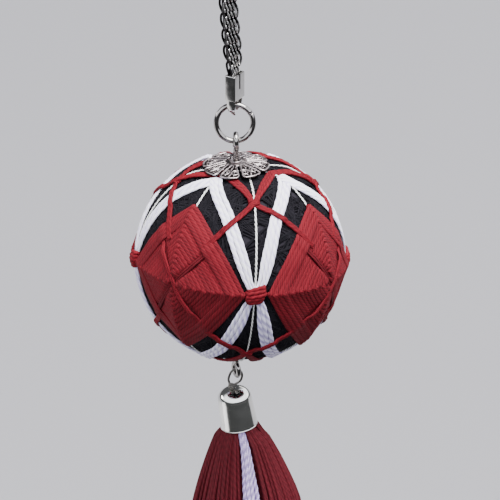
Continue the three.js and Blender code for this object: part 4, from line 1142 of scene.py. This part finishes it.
def make_lock(rng):
    """The lock of white cords, tight under the rim and opening below."""
    white = Bundle()
    for across, out in LOCK_CORDS:
        z = np.arange(TASSEL_TOP, TASSEL_END + 0.6 * rng.normal(), -0.34)
        x, half, depth = spread_at(z)
        s = TASSEL_TOP - z
        spread, size = (np.interp(s, LOCK_OPENING["s"], LOCK_OPENING[key]) for key in ("spread", "size"))
        drift = 0.1 * np.sin(s / 3.1 + across) * np.minimum(s / 10, 1)
        way = np.stack([x + LOCK_OUT * half * math.sin(LOCK_AZIMUTH) + across * spread + drift,
                        -LOCK_OUT * half * depth * math.cos(LOCK_AZIMUTH) - out * spread, z], -1)
        white.tube(way, (0.1, 1, 0), size, sides=10, twist=-0.34, lobes=2, depth=0.17,
                   tone=rng.uniform(0.35, 0.6), seed=rng.random())
    white.object("tassel_lock", WHITE_LOCK, "white_thread", ["tassel_white"])


# Stage and light
FLOOR_Z = -1.3
FLOOR_CORNERS = [(-40, -20), (40, -20), (40, 40), (-40, 40)]
FLOOR_DARK, FLOOR_PALE = (0.011, 0.012, 0.01), (0.7, 0.685, 0.69)
WARM_WHITE = (1, 0.985, 0.99)
WINDOW_STRENGTH, ROOM_STRENGTH, BELOW_STRENGTH = 2.7, 0.1, 0.5
KEY = {"azimuth": math.radians(50), "elevation": math.radians(75), "distance": 0.75, "size": 0.6,
       "power": 21.0}


def add_area(name, place, aim, size, power, colour=(1, 1, 1), tall=None):
    data = bpy.data.lights.new(name, "AREA")
    data.shape = "RECTANGLE" if tall else "DISK"
    data.size, data.energy, data.color = size, power, colour
    if tall:
        data.size_y = tall
    lamp = bpy.data.objects.new(name, data)
    lamp.location = place
    lamp.rotation_euler = (Vector(aim) - Vector(place)).to_track_quat("-Z", "Y").to_euler()
    bpy.context.scene.collection.objects.link(lamp)


def make_floor():
    """A pale floor that turns dark in front, which the polished cap's body and the crimp reflect."""
    mesh = bpy.data.meshes.new("floor")
    mesh.from_pydata([(x, y, FLOOR_Z) for x, y in FLOOR_CORNERS], [], [(0, 1, 2, 3)])
    floor = bpy.data.objects.new("floor", mesh)
    bpy.context.scene.collection.objects.link(floor)
    material, tree, shader = new_material("floor_paper")
    place = tree.add("TexCoord").outputs["Object"]
    parts = tree.add("SeparateXYZ", Vector=place).outputs
    slant = tree.math("MULTIPLY_ADD", parts["X"], -0.35, parts["Y"])
    shade = tree.math("MULTIPLY_ADD", tree.noise(place, 6, 2), 0.02, tree.edge(slant, -0.7, 0.2))
    tree.put(shader["Base Color"], tree.ramp(shade, [(0.0, FLOOR_DARK), (1.0, FLOOR_PALE)]))
    shader["Roughness"].default_value = 0.9
    mesh.materials.append(material)


def make_lights():
    ball = (BALL_CENTRE - HANG_POINT) / 1000
    level = math.cos(KEY["elevation"])
    towards = np.array([level * math.sin(KEY["azimuth"]), -level * math.cos(KEY["azimuth"]),
                        math.sin(KEY["elevation"])])
    add_area("key", ball + KEY["distance"] * towards, ball, KEY["size"], KEY["power"])
    add_area("floor_wash", (0.75, 2.7, 0.9), (0.6, 2.8, FLOOR_Z), 1.6, 10, WARM_WHITE)
    add_area("left_wash", (-1.9, 0.6, 0.4), (-1.7, 0.5, FLOOR_Z), 1.0, 20, WARM_WHITE)
    add_area("side_card", (-1.1, -0.2, -0.85), ball, 0.6, 3.0, tall=1.5)
    add_area("right_wash", (2.6, 1.2, 0.9), (2.5, 1.4, FLOOR_Z), 1.4, 8, WARM_WHITE)


def make_world():
    """A dim room with a bright band over its front and sides, which the polished cap mirrors."""
    world = bpy.data.worlds.new("world")
    world.use_nodes = True
    tree = Nodes(world.node_tree)
    place = tree.add("TexCoord").outputs["Generated"]
    up = tree.add("SeparateXYZ", Vector=place).outputs["Z"]
    facing = tree.add("VectorMath", {"operation": "DOT_PRODUCT"}, Vector=place)
    facing.inputs[1].default_value = (0.5, -0.866, 0)
    band = tree.math("MULTIPLY", tree.edge(up, 0.16, 0.3, WINDOW_STRENGTH), tree.edge(up, 0.8, 0.7))
    band = tree.math("MULTIPLY", band, tree.edge(facing.outputs["Value"], -0.75, -0.35))
    light = tree.math("ADD", band, tree.edge(up, -0.08, 0.02, ROOM_STRENGTH))
    light = tree.math("ADD", light, tree.edge(up, -0.04, -0.08, BELOW_STRENGTH))
    background = world.node_tree.nodes["Background"].inputs
    tree.put(background["Strength"], light)
    background["Color"].default_value = (0.9, 0.92, 1.0, 1)
    bpy.context.scene.world = world


def main():
    rng = np.random.default_rng(8)
    strap, route = make_strap()
    upper_clamp, upper_ring = make_findings()
    make_pin()
    make_flower_cap()
    make_ball(rng)
    make_guides(rng)
    make_whites(rng)
    make_net(rng)
    for index in range(4):
        make_kite(index, rng)
        make_tie(index, rng)
    make_link()
    make_bell()
    make_floss(rng)
    make_lock(rng)
    make_floor()
    make_lights()
    make_world()


main()
